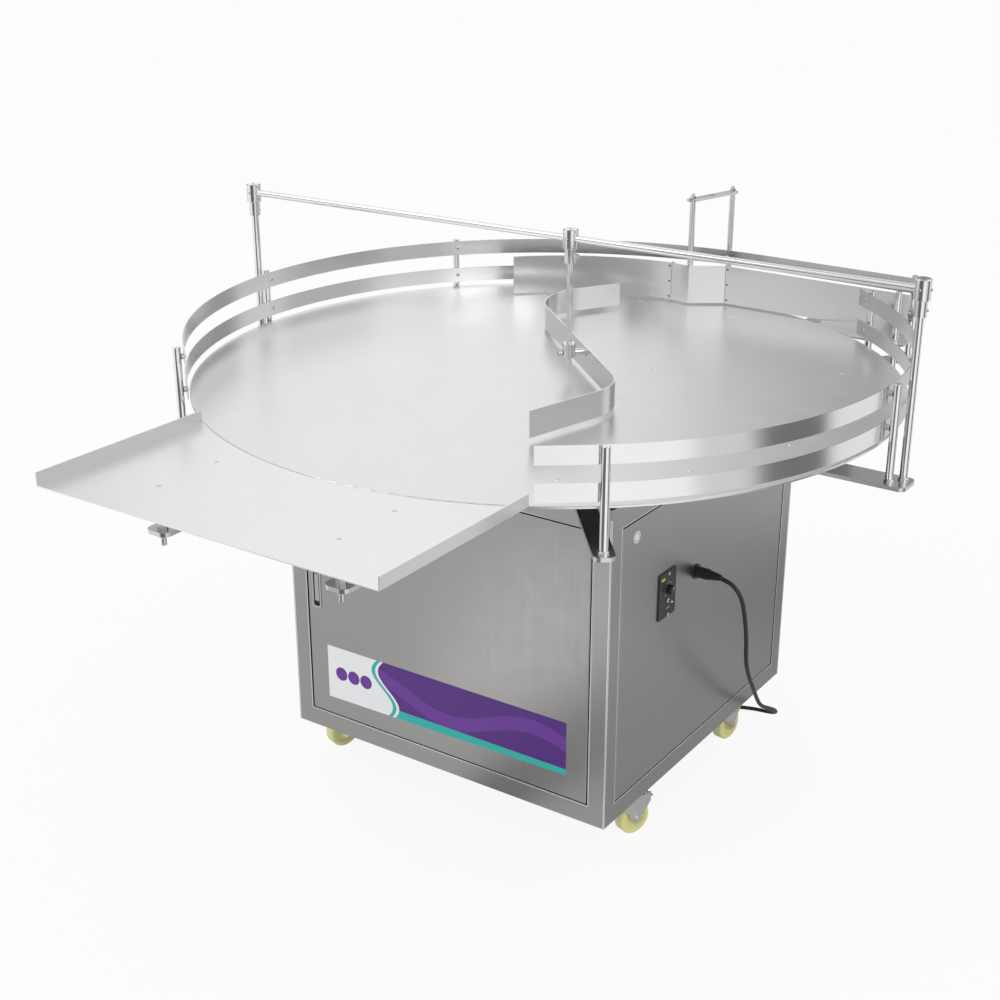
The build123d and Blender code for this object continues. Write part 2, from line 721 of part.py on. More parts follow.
def guide_place():
    """Where the guide's rod crosses the cross bar's line."""
    point = bar_point(GUIDE_X)
    return Vector(point.X, point.Y)


def thumb_hole(place, level, angle, length):
    """Cutter for a thumb screw that points at an upright's axis."""
    start = Vector(place.X, place.Y, level)
    return cross_rod(start, polar(1, angle), length, SCREW_DIAMETER + 2 * RUNNING_FIT)


def guide_slider():
    """Knuckle that slides on the cross bar and holds the guide's rod."""
    place = guide_place()
    middle = bar_point(GUIDE_X) - KNUCKLE * bar_direction()
    hole = cross_rod(middle, bar_direction(), 2 * KNUCKLE, CROSS_BAR + 2 * RUNNING_FIT)
    body = knuckle(place, hole, GUIDE_ROD + 2 * RUNNING_FIT, DISC_TOP + TALL_REACH)
    return body - thumb_hole(place, slider_screw_level(), SLIDER_SCREW_ANGLE, SLEEVE)


def slider_screw_level():
    """Height of the thumb screw in the slider's sleeve."""
    return DISC_TOP + CROSS_LIFT - KNUCKLE_HEIGHT / 2 - SLEEVE_HEIGHT / 2


SLIDER_SCREW_ANGLE = -10.0


def thumb_screw(place, level, angle, inner, outer):
    """Knurled thumb screw whose tip rests by an upright's surface."""
    direction = polar(1, angle)
    start = Vector(place.X, place.Y, level) + inner * direction
    shank = cross_rod(start, direction, outer - inner + 1, SCREW_DIAMETER)
    head_start = Vector(place.X, place.Y, level) + (outer + 0.3) * direction
    head = cross_rod(head_start, direction, THUMB_LENGTH, THUMB_HEAD)
    for turn in range(0, 360, 45):
        side = Plane(origin=head_start, z_dir=direction)
        head -= side * Rot(0, 0, turn) * Pos(THUMB_HEAD / 2 + 0.7, 0, THUMB_LENGTH / 2) * Cylinder(
            1.6, THUMB_LENGTH + 2)
    return shank + head


def slider_thumb_screw():
    """Thumb screw in the slider."""
    return thumb_screw(guide_place(), slider_screw_level(), SLIDER_SCREW_ANGLE,
                       GUIDE_ROD / 2 + 0.3, SLEEVE / 2)


def guide_rod():
    """Upright rod that hangs from the slider."""
    bar = rod(guide_place(), DISC_TOP + ROD_END, DISC_TOP + ROD_TOP, GUIDE_ROD)
    return chamfer(bar.edges().filter_by(GeomType.CIRCLE), 1)


def guide_path():
    """The guide band's line: straight runs with two opposite bends."""
    return Wire(FilletPolyline(*GUIDE_CORNERS, radius=GUIDE_BENDS).edges())


def stub_reach():
    """Direction from the rod to the long run of the guide band, and its distance."""
    first = Vector(*GUIDE_CORNERS[1])
    second = Vector(*GUIDE_CORNERS[2])
    along = (second - first).normalized()
    offset = guide_place() - first
    foot = first + along * offset.dot(along)
    gap = foot - guide_place()
    return gap.normalized(), gap.length


def guide_clamp():
    """Clamp on the rod with a stub that carries the guide band."""
    place = guide_place()
    low = DISC_TOP + CLAMP_LOW
    body = rod(place, low, low + CLAMP_HEIGHT, CLAMP_DIAMETER)
    body = chamfer(body.edges().filter_by(GeomType.CIRCLE), 1.5)
    direction, distance = stub_reach()
    level = clamp_level()
    start = Vector(place.X, place.Y, level)
    length = distance - BAND_THICKNESS / 2
    body += cross_rod(start, direction, length, CLAMP_STUB)
    flange = cross_rod(start + (length - 3) * direction, direction, 3, CLAMP_STUB + 8)
    body += flange
    body -= rod(place, low - 1, low + CLAMP_HEIGHT + 1, GUIDE_ROD + 2 * RUNNING_FIT)
    return body - thumb_hole(place, clamp_level(), clamp_screw_angle(), CLAMP_DIAMETER)


def clamp_level():
    """Height of the stub and the thumb screw in the lower clamp."""
    return DISC_TOP + CLAMP_LOW + CLAMP_HEIGHT / 2 - 5


def clamp_screw_angle():
    """The lower thumb screw points away from the stub."""
    direction, distance = stub_reach()
    return degrees(asin(direction.Y)) + 180


def clamp_thumb_screw():
    """Thumb screw in the lower clamp."""
    return thumb_screw(guide_place(), clamp_level(), clamp_screw_angle(),
                       GUIDE_ROD / 2 + 0.3, CLAMP_DIAMETER / 2)


def guide_band():
    """Bent band that leads the products across the disc."""
    return strip(guide_path(), DISC_TOP + GUIDE_BAND_LIFT, GUIDE_BAND_HEIGHT, BAND_THICKNESS)


# Outlet

def wall_levels():
    """Lower and upper edge of the outlet plates."""
    return DISC_TOP + WALL_LOW, DISC_TOP + WALL_LOW + WALL_HEIGHT


def knuckle_spans(first):
    """Alternate hinge knuckle spans, of which every other one belongs to each leaf."""
    low, high = wall_levels()
    pitch = (high - low) / KNUCKLES
    spans = []
    for index in range(first, KNUCKLES, 2):
        start = low + index * pitch + (0.3 if index else 0)
        end = low + (index + 1) * pitch - (0.3 if index < KNUCKLES - 1 else 0)
        spans.append((start, end))
    return spans


def barrel_axis(hinge, heading):
    """Axis of a hinge whose barrel stands behind the plates, to the left of the heading."""
    offset = BARREL / 2
    return Vector(*hinge) + offset * polar(1, heading + 90)


def hinged(leaf, axis, first):
    """Give a leaf its own knuckles and cut room for the other leaf's."""
    for low, high in knuckle_spans(1 - first):
        leaf -= rod(axis, low - 0.6, high + 0.6, BARREL + 1)
    leaf += [rod(axis, low, high, BARREL) for low, high in knuckle_spans(first)]
    low, high = wall_levels()
    return leaf - rod(axis, low - 1, high + 1, HINGE_PIN + 2 * RUNNING_FIT)


HINGE_GAP = 1.5


def gate_headings():
    """Headings of the two flat leaves, from the curved plate to the wall."""
    first = Vector(*GATE_FOLD) - Vector(*CURVE_HINGE)
    second = Vector(*GATE_HINGE) - Vector(*GATE_FOLD)
    return degrees(asin(first.normalized().Y)), degrees(asin(second.normalized().Y))


def fold_plate():
    """Plate folded at the gate's rod, hinged at both ends."""
    near, far = gate_headings()
    low, high = wall_levels()
    line = Polyline(Vector(*CURVE_HINGE) + HINGE_GAP * polar(1, near), GATE_FOLD,
                    Vector(*GATE_HINGE) - HINGE_GAP * polar(1, far))
    half = BAND_THICKNESS / 2
    face = offset(line, half, kind=Kind.INTERSECTION, side=Side.BOTH)
    outline = make_face(face.edges())
    plate = extrude(Pos(0, 0, low) * outline, high - low)
    plate = hinged(plate, curve_axis(), 1)
    return hinged(plate, wall_axis(), 1)


def curve_axis():
    """Hinge axis between the curved plate and the fold plate."""
    near, far = gate_headings()
    return barrel_axis(CURVE_HINGE, near)


def wall_axis():
    """Hinge axis between the fold plate and the wall."""
    return barrel_axis(GATE_HINGE, 0)


def curved_plate():
    """Long curved plate that leads products into the gate."""
    low, high = wall_levels()
    arc = RadiusArc(CURVE_END, CURVE_HINGE, CURVE_RADIUS)
    cut = 1 - HINGE_GAP / arc.length
    path = Wire([arc.trim(0, cut)])
    return hinged(strip(path, low, high - low, BAND_THICKNESS), curve_axis(), 0)


def outlet_wall():
    """Straight wall with a foot that stands on the transfer plate."""
    low, high = wall_levels()
    half = BAND_THICKNESS / 2
    seat = DISC_TOP - TRANSFER_DROP
    start = GATE_HINGE[0] + HINGE_GAP
    wall = block((start, WALL_END), (WALL_Y - half, WALL_Y + half), (low, high))
    wall = hinged(wall, wall_axis(), 0)
    foot_start = TRANSFER_X[0] + 40
    wall += block((foot_start, WALL_END), (WALL_Y - half, WALL_Y + half), (seat, low))
    foot = block((foot_start, WALL_END), (WALL_Y - half, WALL_Y + WALL_FOOT), (seat, seat + SHEET))
    return wall + foot


def rod_place():
    """The gate rod stands in the fold, against both halves of the plate."""
    near, far = gate_headings()
    half_angle = (180 - (far - near)) / 2
    distance = (GATE_ROD_DIAMETER / 2 + BAND_THICKNESS / 2 + RUNNING_FIT) / sin(radians(half_angle))
    bisector = (near + far) / 2 + 90
    return Vector(*GATE_FOLD) + distance * polar(1, bisector)


def gate_stud(place):
    """Threaded stud with a nut, on top of a gate rod."""
    low = DISC_TOP + GATE_BAR_LIFT
    nut_low = low + GATE_BAR_THICKNESS + 0.6
    stud = rod(place, low, nut_low + 12, BOLT)
    return stud + hexagon(place, nut_low, nut_low + 6.5, BOLT_HEAD)


def fold_rod():
    """Upright rod of the gate with its stud, and the two hinge pins."""
    low, high = wall_levels()
    place = rod_place()
    bar = rod(place, low + 4, DISC_TOP + GATE_BAR_LIFT, GATE_ROD_DIAMETER) + gate_stud(place)
    pins = []
    for axis in (curve_axis(), wall_axis()):
        pin = rod(axis, low, high, HINGE_PIN) + rod(axis, high + 0.2, high + 2, BARREL - 1)
        pins.append(pin + rod(axis, high, high + 0.2, HINGE_PIN))
    return [bar] + pins


def slotted_bar():
    """Flat link from the gate post to the gate rod, slotted for adjustment."""
    gate, angle = gate_post_place()
    end = rod_place()
    span = (end - gate).length
    heading = (end - gate).normalized()
    low = DISC_TOP + GATE_BAR_LIFT + 0.3
    plane = Plane(origin=Vector(gate.X, gate.Y, low), x_dir=heading, z_dir=(0, 0, 1))
    length = span + 30
    outline = Pos(length / 2 - 14, 0) * SlotOverall(length, GATE_BAR_WIDTH)
    slot = Pos(span - SLOT_LENGTH / 2 + 12, 0) * SlotOverall(SLOT_LENGTH, SLOT_WIDTH)
    face = outline - slot - Circle(BOLT / 2 + RUNNING_FIT)
    return extrude(plane * face, GATE_BAR_THICKNESS)


def transfer_plate():
    """Dead plate that fills the corner between the disc and the outlet."""
    top = DISC_TOP - TRANSFER_DROP
    plate = block(TRANSFER_X, TRANSFER_Y, (top - TRANSFER_THICKNESS, top))
    plate -= rod((0, 0), top - 10, top + 1, DISC_DIAMETER + 2 * TRAY_GAP)
    return plate - rod(OUTLET_POST, top - 10, top + 1, POST_DIAMETER + 1)


# Infeed tray

def infeed_tray():
    """Tray with a flange at each side, cut round to follow the disc."""
    top = DISC_TOP - TRANSFER_DROP
    half = TRAY_WIDTH / 2
    rear = sqrt((DISC_RADIUS + TRAY_GAP) ** 2 - half ** 2)
    low = top - SHEET
    deep = (-TRAY_FRONT, -HALF)
    tray = block((-half, half), deep, (low, top + TRAY_FLANGE))
    tray = fillet(tray.edges().filter_by(Axis.Y).group_by(Axis.Z)[0], 3)
    tray -= block((-half + SHEET, half - SHEET), (-TRAY_FRONT - 1, 0), (top, top + 50))
    tray -= rod((0, 0), low - 1, top + 50, DISC_DIAMETER + 2 * TRAY_GAP)
    return tray - block((-half - 1, half + 1), (-rear, 0), (low - 1, top + 50))


def tray_support_bars():
    """Two flat bars from the cabinet's top out under the tray."""
    bars = []
    for side in (-1, 1):
        x = side * TRAY_BAR_X
        holes = [Vector(x, y) for y in TRAY_STUD_ROWS]
        bar = arm((x, -HALF + 60), (x, -TRAY_BAR_REACH), TRAY_BAR_WIDTH)
        for hole in holes:
            bar -= rod(hole, CABINET_TOP - 1, ARM_TOP + 1, TRAY_STUD + 1)
        bars.append(bar)
    return bars


def tray_studs():
    """Levelling studs under the tray, each with a nut above and below its bar."""
    solids = []
    tray_low = DISC_TOP - TRANSFER_DROP - SHEET
    for side in (-1, 1):
        for y in TRAY_STUD_ROWS:
            place = (side * TRAY_BAR_X, y)
            stud = rod(place, CABINET_TOP - 24, tray_low, TRAY_STUD)
            stud += rod(place, tray_low - 3, tray_low, TRAY_STUD + 14)
            stud += hexagon(place, ARM_TOP, ARM_TOP + 8, TRAY_NUT)
            stud += hexagon(place, CABINET_TOP - 8, CABINET_TOP, TRAY_NUT)
            solids.append(stud)
    return solids


# Controller and cord

def wall_point(place, out=0.0):
    """A point on the right panel's face, moved outwards."""
    return Vector(FRAME_HALF + out, place[0], place[1])


def side_plane(place, out=0.0):
    """A plane on the right panel's face, with X along the face and Z outwards."""
    return Plane(origin=wall_point(place, out), x_dir=(0, 1, 0), z_dir=(1, 0, 0))


def speed_controller():
    """Controller: a front plate on the panel with its box behind it."""
    width, height = CONTROL_SIZE
    plate = extrude(side_plane(CONTROL_PLACE) * RectangleRounded(width, height, 3), 3)
    box = extrude(side_plane(CONTROL_PLACE, -CONTROL_DEPTH) * Rectangle(width - 13, height - 29),
                  CONTROL_DEPTH)
    body = plate + box
    body -= cross_rod(wall_point(KNOB_PLACE, -4), Vector(1, 0, 0), 10, 6 + 2 * RUNNING_FIT)
    return body - cross_rod(wall_point(SWITCH_PLACE, -5), Vector(1, 0, 0), 10, SWITCH_BORE)


def speed_knob():
    """Round fluted knob with a shaft into the controller."""
    base = wall_point(KNOB_PLACE, 3.3)
    knob = cross_rod(base, Vector(1, 0, 0), KNOB_DEPTH - 3.3, KNOB_DIAMETER)
    knob = chamfer(knob.edges().group_by(Axis.X)[-1], 1.5)
    for turn in range(0, 360, 30):
        angle = radians(turn)
        side = Vector(0, cos(angle), sin(angle)) * (KNOB_DIAMETER / 2 + 0.6)
        knob -= cross_rod(base + side + Vector(2, 0, 0), Vector(1, 0, 0), KNOB_DEPTH, 2.4)
    return knob + cross_rod(wall_point(KNOB_PLACE, -3.7), Vector(1, 0, 0), 8, 6)


def run_switch():
    """Toggle lever that tips about a pin behind the plate."""
    pivot = wall_point(SWITCH_PLACE, -1)
    lever = cross_rod(pivot, Vector(1, 0, 0), 12, 3.2)
    tip = Pos(pivot + Vector(12.5, 0, 0)) * Sphere(2.6)
    pin = cross_rod(pivot - Vector(0, 2.5, 0), Vector(0, 1, 0), 5, 3.1)
    return lever + tip + pin


def cord_gland():
    """Ribbed gland that the cord leaves through."""
    start = wall_point(GLAND_PLACE)
    outward = Vector(1, 0, 0)
    body = cross_rod(start, outward, 3, GLAND_DIAMETER + 8)
    body += cross_rod(start - Vector(18, 0, 0), outward, 18, GLAND_DIAMETER - 4)
    body += cross_rod(start, outward, GLAND_LENGTH, GLAND_DIAMETER - 4)
    for ring in range(4):
        body += cross_rod(start + Vector(5 + ring * 6.5, 0, 0), outward, 3.5, GLAND_DIAMETER)
    return body


CORD_ROUTE = [
    (FRAME_HALF + GLAND_LENGTH, *GLAND_PLACE), (FRAME_HALF + 74, *GLAND_PLACE),
    (502, -46, 512), (502, -22, 450), (497, 2, 388), (490, 20, 330), (481, 58, 275),
    (469, 110, 220), (456, 160, 168), (447, 205, 122), (446, 255, 92), (440, 305, 62),
    (426, 345, 32), (399, 370, 12), (355, 376, 5), (308, 358, 4.6), (270, 330, 4.5),
    (236, 311, 4.5), (195, 308.65, 4.5),
]


def cord_radii():
    """Bend radii of the cord, each as large as its two runs allow."""
    points = [Vector(*point) for point in CORD_ROUTE]
    radii = []
    for before, here, after in zip(points, points[1:], points[2:]):
        first = here - before
        second = after - here
        turn = radians(first.get_angle(second))
        radii.append(0.45 * min(first.length, second.length) / tan(turn / 2))
    return radii


def coil_radii():
    """Middle radius of the coil, and its inner and outer surface."""
    middle = 6 * CORD_DIAMETER
    half = CORD_DIAMETER + 0.3
    return middle, middle - half, middle + half


def cord_coil():
    """Outer shape of the coiled rest of the cord, two turns wide and three high."""
    middle, inner, outer = coil_radii()
    height = COIL_TURNS / 2 * CORD_DIAMETER
    ring = rod(COIL_CENTRE, 0, height, 2 * outer) - rod(COIL_CENTRE, -1, height + 1, 2 * inner)
    return chamfer(ring.edges().filter_by(GeomType.CIRCLE), 2.5)


def power_cord():
    """Cord from the gland to the coil, and the short tail to the plug."""
    path = Wire(FilletPolyline(*CORD_ROUTE, radius=cord_radii()).edges())
    section = Plane(origin=path @ 0, z_dir=path % 0) * Circle(CORD_DIAMETER / 2)
    tube = sweep(section, path=path)
    print("cord radii", [round(radius) for radius in cord_radii()])
    print("cord tube", round(path.length), "mm; volume ratio",
          round(tube.volume / (path.length * section.area), 4))
    tail = cross_rod(plug_point(0), plug_heading(), plug_start(), CORD_DIAMETER)
    keep_out = rod(COIL_CENTRE, -1, 60, 2 * coil_radii()[2])
    return [tube - keep_out, tail - keep_out]


def plug_heading():
    """The tail leaves the coil along a tangent."""
    return polar(1, PLUG_ANGLE + 90)


def outer_turn():
    """Middle radius of the coil's outer column of turns."""
    middle, inner, outer = coil_radii()
    return (middle + outer) / 2


def plug_start():
    """Distance along the tangent at which the plug begins."""
    middle, inner, outer = coil_radii()
    return sqrt(outer ** 2 - outer_turn() ** 2) + 28


def plug_point(distance):
    """A point along the tail, at the level of the plug's middle."""
    centre = Vector(COIL_CENTRE[0], COIL_CENTRE[1], PLUG_SIZE[2] / 2)
    return centre + outer_turn() * polar(1, PLUG_ANGLE) + distance * plug_heading()


def mains_plug():
    """Moulded plug with two round pins, lying on the floor."""
    length, width, height = PLUG_SIZE
    plane = Plane(origin=plug_point(plug_start()), z_dir=plug_heading(), x_dir=(0, 0, 1))
    body = extrude(plane * RectangleRounded(height * 0.6, width * 0.6, 5), 2)
    ends = [plane * RectangleRounded(height * 0.6, width * 0.5, 5),
            plane.offset(length * 0.55) * RectangleRounded(height, width, 8)]
    body = loft(ends) + extrude(ends[1], length * 0.45)
    for side in (-1, 1):
        start = plug_point(plug_start() + length) + side * 9.5 * polar(1, PLUG_ANGLE)
        body += cross_rod(start, plug_heading(), 19, 4.8)
    return body


# Casters

def caster_plates():
    """Four mounting plates with the upper half of the swivel bearing and its rivet."""
    plates = []
    for x, y, angle in CASTERS.values():
        plate = Pos(x, y, CASTER_HEIGHT - 1.5) * Box(70, 92, 3)
        plate = fillet(plate.edges().filter_by(Axis.Z), 6)
        cup = rod((x, y), CASTER_HEIGHT - 9, CASTER_HEIGHT - 3, 46)
        rivet = rod((x, y), CASTER_HEIGHT - 19, CASTER_HEIGHT - 9, 10)
        head = rod((x, y), CASTER_HEIGHT - 19.6, CASTER_HEIGHT - 17.4, 17)
        plates.append(plate + cup + rivet + head)
    return plates


def fork_side():
    """Outline of a fork leg in the plane of the wheel, trail to the right."""
    axle = (CASTER_TRAIL, WHEEL_DIAMETER / 2)
    top = CASTER_HEIGHT - 14
    low = CASTER_HEIGHT - 17
    outline = Polyline((-20, top), (70, top), (70, 70), (axle[0] + 13, axle[1] + 4),
                       (axle[0] - 13, axle[1] + 4), (-8, low - 6), (-20, low), close=True)
    return make_face(outline) + Pos(*axle) * Circle(13)


def caster_fork():
    """Pressed fork with the lower bearing cup, its axle bolt and nut, and the pedal's pin."""
    top = CASTER_HEIGHT - 14
    outer = FORK_GAP / 2 + FORK_SHEET
    upright = Plane(origin=(0, outer, 0), x_dir=(1, 0, 0), z_dir=(0, -1, 0))
    body = extrude(upright * fork_side(), 2 * outer)
    body -= block((-60, 100), (-FORK_GAP / 2, FORK_GAP / 2), (0, top - 3))
    body -= block((50, 100), (-FORK_GAP / 2, FORK_GAP / 2), (0, top + 1))
    crown = rod((0, 0), top - 3, top, 2 * outer + 6)
    cup = rod((0, 0), top, CASTER_HEIGHT - 9.3, 42)
    body = body + crown + cup
    body -= rod((0, 0), top - 5, CASTER_HEIGHT, 10 + 4 * RUNNING_FIT)
    axle_low = Vector(CASTER_TRAIL, -outer - 8, WHEEL_DIAMETER / 2)
    body -= cross_rod(axle_low, Vector(0, 1, 0), 60, CASTER_AXLE)
    pin_place = pedal_pivot() - Vector(0, outer + 1.5, 0)
    body -= cross_rod(pin_place, Vector(0, 1, 0), 60, 5)
    pin = cross_rod(pin_place, Vector(0, 1, 0), 2 * outer + 3, 5)
    axle = cross_rod(axle_low + Vector(0, 2, 0), Vector(0, 1, 0), 2 * outer + 14, CASTER_AXLE)
    head_plane = Plane(origin=axle_low + Vector(0, 2.4, 0), z_dir=(0, 1, 0))
    head = extrude(head_plane * RegularPolygon(6.5, 6, major_radius=False), 5.5)
    nut_plane = Plane(origin=Vector(CASTER_TRAIL, outer + 0.1, WHEEL_DIAMETER / 2), z_dir=(0, 1, 0))
    nut = extrude(nut_plane * RegularPolygon(6.5, 6, major_radius=False), 6)
    return [body, axle + head + nut, pin]


def caster_wheel():
    """Moulded wheel with dished sides and a hub."""
    radius = WHEEL_DIAMETER / 2
    half = WHEEL_WIDTH / 2
    bore = CASTER_AXLE / 2 + 2 * RUNNING_FIT
    quarter = [(bore, 0), (bore, half + 1.5), (10, half + 1.5), (11.5, half - 4), (25, half - 5),
               (27, half - 0.5), (radius - 3, half - 0.5), (radius, half - 4), (radius, 0)]
    other = [(r, -w) for r, w in reversed(quarter[1:-1])]
    profile = make_face(Polyline(*quarter, *other, close=True))
    wheel = revolve(Plane.XY * profile, Axis.Y)
    return Pos(CASTER_TRAIL, 0, radius) * wheel


def pedal_pivot():
    """Pivot of the brake pedal, behind and above the wheel."""
    return Vector(62, 0, 76)


def brake_pedal():
    """Pressed brake pedal with its shoe beside the wheel."""
    width = 28.0
    pivot = pedal_pivot()
    points = [(56, 84), (64, 84), (75, 79), (79, 79.5), (80, 77), (76, 74.5), (68, 75), (66, 67),
              (61.5, 66), (57, 72)]
    face = make_face(Polyline(*points, close=True)) + Pos(pivot.X, pivot.Z) * Circle(6)
    plane = Plane(origin=(0, width / 2, 0), x_dir=(1, 0, 0), z_dir=(0, -1, 0))
    body = extrude(plane * face, width)
    bore = pivot - Vector(0, width, 0)
    return body - cross_rod(bore, Vector(0, 1, 0), 2 * width, 5 + 4 * RUNNING_FIT)


def placed(shape, caster):
    """Turn a caster part to its trail and move it under its corner."""
    x, y, angle = caster
    return Pos(x, y, 0) * Rot(0, 0, angle) * shape


def save_casters():
    """Write the moving parts of the four casters."""
    fork = caster_fork()
    wheel = caster_wheel()
    pedal = brake_pedal()
    for name, caster in CASTERS.items():
        save(f"caster_fork_{name}", *[placed(solid, caster) for solid in fork])
        save(f"caster_wheel_{name}", placed(wheel, caster))
        save(f"brake_pedal_{name}", placed(pedal, caster))


def main():
    save("cabinet_frame", *cabinet_frame())
    save("cabinet_top_plate", cabinet_top_plate())
    save("side_panels", *side_panels())
    save("right_panel", right_panel())
    save("drive_bridge", drive_bridge())
    save("door_panel", door_panel())
    save("door_latch_housing", door_latch_housing())
    save("door_latch_lever", door_latch_lever())
    save("main_spindle", main_spindle())
    save("bearing_housings", bearing_housing(CABINET_TOP), bearing_housing(CABINET_TOP - BRIDGE_DROP))
    save("disc_backing", disc_backing())
    save("turntable_disc", turntable_disc())
    save("driven_pulley", pulley((0, 0), DRIVEN_PULLEY_DIAMETER, SPINDLE_DIAMETER))
    save("drive_pulley", drive_pulley())
    save("drive_belt", drive_belt())
    save("gear_motor", gear_motor())
    save("right_rails", rail(right_path(), LOWER_LIFT), rail(right_path(), UPPER_LIFT))
    save("left_rails", rail(left_path(), LOWER_LIFT), rail(left_path(), UPPER_LIFT))
    save("rail_posts", *rail_posts())
    save("tall_posts", *tall_posts())
    save("rail_arms", *rail_arms())
    save("rail_fixings", *plate_fixings(), *rail_spacers())
    save("bar_end_knuckles", *bar_end_knuckles())
    save("cross_bar", cross_bar())
    save("guide_slider", guide_slider())
    save("slider_thumb_screw", slider_thumb_screw())
    save("guide_rod", guide_rod())
    save("guide_clamp", guide_clamp())
    save("clamp_thumb_screw", clamp_thumb_screw())
    save("guide_band", guide_band())
    save("gate_curved_plate", curved_plate())
    save("gate_fold_plate", fold_plate())
    save("gate_fold_rod", *fold_rod())
    save("gate_slotted_bar", slotted_bar())
    save("outlet_wall", outlet_wall())
    save("transfer_plate", transfer_plate())
    save("infeed_tray", infeed_tray())
    save("tray_support_bars", *tray_support_bars())
    save("tray_studs", *tray_studs())
    save("speed_controller", speed_controller())
    save("speed_knob", speed_knob())
    save("run_switch", run_switch())
    save("cord_gland", cord_gland())
    save("power_cord", *power_cord())
    save("cord_coil", cord_coil())
    save("mains_plug", mains_plug())
    save("caster_plates", *caster_plates())
    save_casters()


main()
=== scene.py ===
"""Looks of the rotary feeding table: finishes, cord, label, fixings, lamps and camera."""

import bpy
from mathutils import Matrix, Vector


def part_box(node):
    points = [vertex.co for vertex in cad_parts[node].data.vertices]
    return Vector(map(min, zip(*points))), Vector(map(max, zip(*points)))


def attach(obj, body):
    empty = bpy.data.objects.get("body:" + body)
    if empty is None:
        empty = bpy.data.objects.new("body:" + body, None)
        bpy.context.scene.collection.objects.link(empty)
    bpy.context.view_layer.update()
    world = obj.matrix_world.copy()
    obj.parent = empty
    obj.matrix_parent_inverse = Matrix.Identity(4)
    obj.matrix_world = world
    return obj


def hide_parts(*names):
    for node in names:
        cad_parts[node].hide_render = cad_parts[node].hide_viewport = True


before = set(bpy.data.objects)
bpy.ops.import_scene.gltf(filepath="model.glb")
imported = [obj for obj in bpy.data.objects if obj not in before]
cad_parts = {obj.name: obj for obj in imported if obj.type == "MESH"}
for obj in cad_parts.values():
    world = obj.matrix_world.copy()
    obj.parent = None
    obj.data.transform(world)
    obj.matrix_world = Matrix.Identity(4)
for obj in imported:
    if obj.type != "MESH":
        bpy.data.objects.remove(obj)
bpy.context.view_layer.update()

import logging
import math
from dataclasses import dataclass, field
from enum import Enum
from typing import Any, Callable, Optional, Sequence, Union

import bmesh
import bpy
from mathutils import Matrix, Vector

LOG = logging.getLogger("feeding_table")
Colour = tuple[float, float, float]
Point = tuple[float, float, float]
MM = 0.001
DISC_TOP = 0.885
FACE = 0.398
PANEL_EDGE = 0.2
STEEL_DARK = 0.6
STEEL_LIGHT = 1.4
BLACK = (0.0, 0.0, 0.0)
WHITE = (1.0, 1.0, 1.0)
UP = Vector((0, 0, 1))
OUT = Vector((1, 0, 0))


def metres(point: Sequence[float]) -> Vector:
    """Turn a point in millimetres into metres."""
    return Vector(point) * MM


def placed(name: str, data: Any) -> Any:
    """Add an object with this data to the scene."""
    made = bpy.data.objects.new(name, data)
    bpy.context.scene.collection.objects.link(made)
    return made


def polar(radius: float, degrees: float, height: float = 0.0) -> Vector:
    """Return the point at a radius and an angle about the disc's axis, in metres."""
    angle = math.radians(degrees)
    return Vector((radius * math.cos(angle), radius * math.sin(angle), height))


# Shader tools


def operator(operation: str, swapped: bool = False) -> Callable[..., "Sock"]:
    """Return a method that adds one kind of Math node."""
    def method(self: "Sock", other: Any = 0.0) -> "Sock":
        return self.maths(operation, other, swapped)
    return method


@dataclass(frozen=True, eq=False)
class Sock:
    """A shader socket, with the material it belongs to, that takes part in plain Python maths."""

    shade: "Shade"
    socket: Any

    def maths(self, operation: str, other: Any = 0.0, swapped: bool = False) -> "Sock":
        """Add a Math node.

        Args:
            operation: the Math node's operation.
            other: the second value or socket.
            swapped: whether the other value comes first.

        Returns:
            The node's result.
        """
        pair = (other, self) if swapped else (self, other)
        return self.shade.node("ShaderNodeMath", {"operation": operation}, {0: pair[0], 1: pair[1]})

    __add__ = operator("ADD")
    __radd__ = operator("ADD", True)
    __sub__ = operator("SUBTRACT")
    __rsub__ = operator("SUBTRACT", True)
    __mul__ = operator("MULTIPLY")
    __rmul__ = operator("MULTIPLY", True)
    __truediv__ = operator("DIVIDE")
    __pow__ = operator("POWER")
    __gt__ = operator("GREATER_THAN")
    __lt__ = operator("LESS_THAN")
    __abs__ = operator("ABSOLUTE")
    sine = operator("SINE")


@dataclass(frozen=True)
class SoftPanel:
    """One soft panel of the studio, as mirrors see it from the table.

    The angles are in degrees: where it stands, half the width of its even part and half of its
    whole width. On the floor it also has a nearest and a farthest distance, in metres.
    """

    bearing: float
    inner: float
    outer: float
    level: float
    near: float = 0.0
    far: float = 0.0


def soft_panels(*rows: Sequence[float]) -> tuple[SoftPanel, ...]:
    """Return the soft panels with these values."""
    return tuple(SoftPanel(*row) for row in rows)


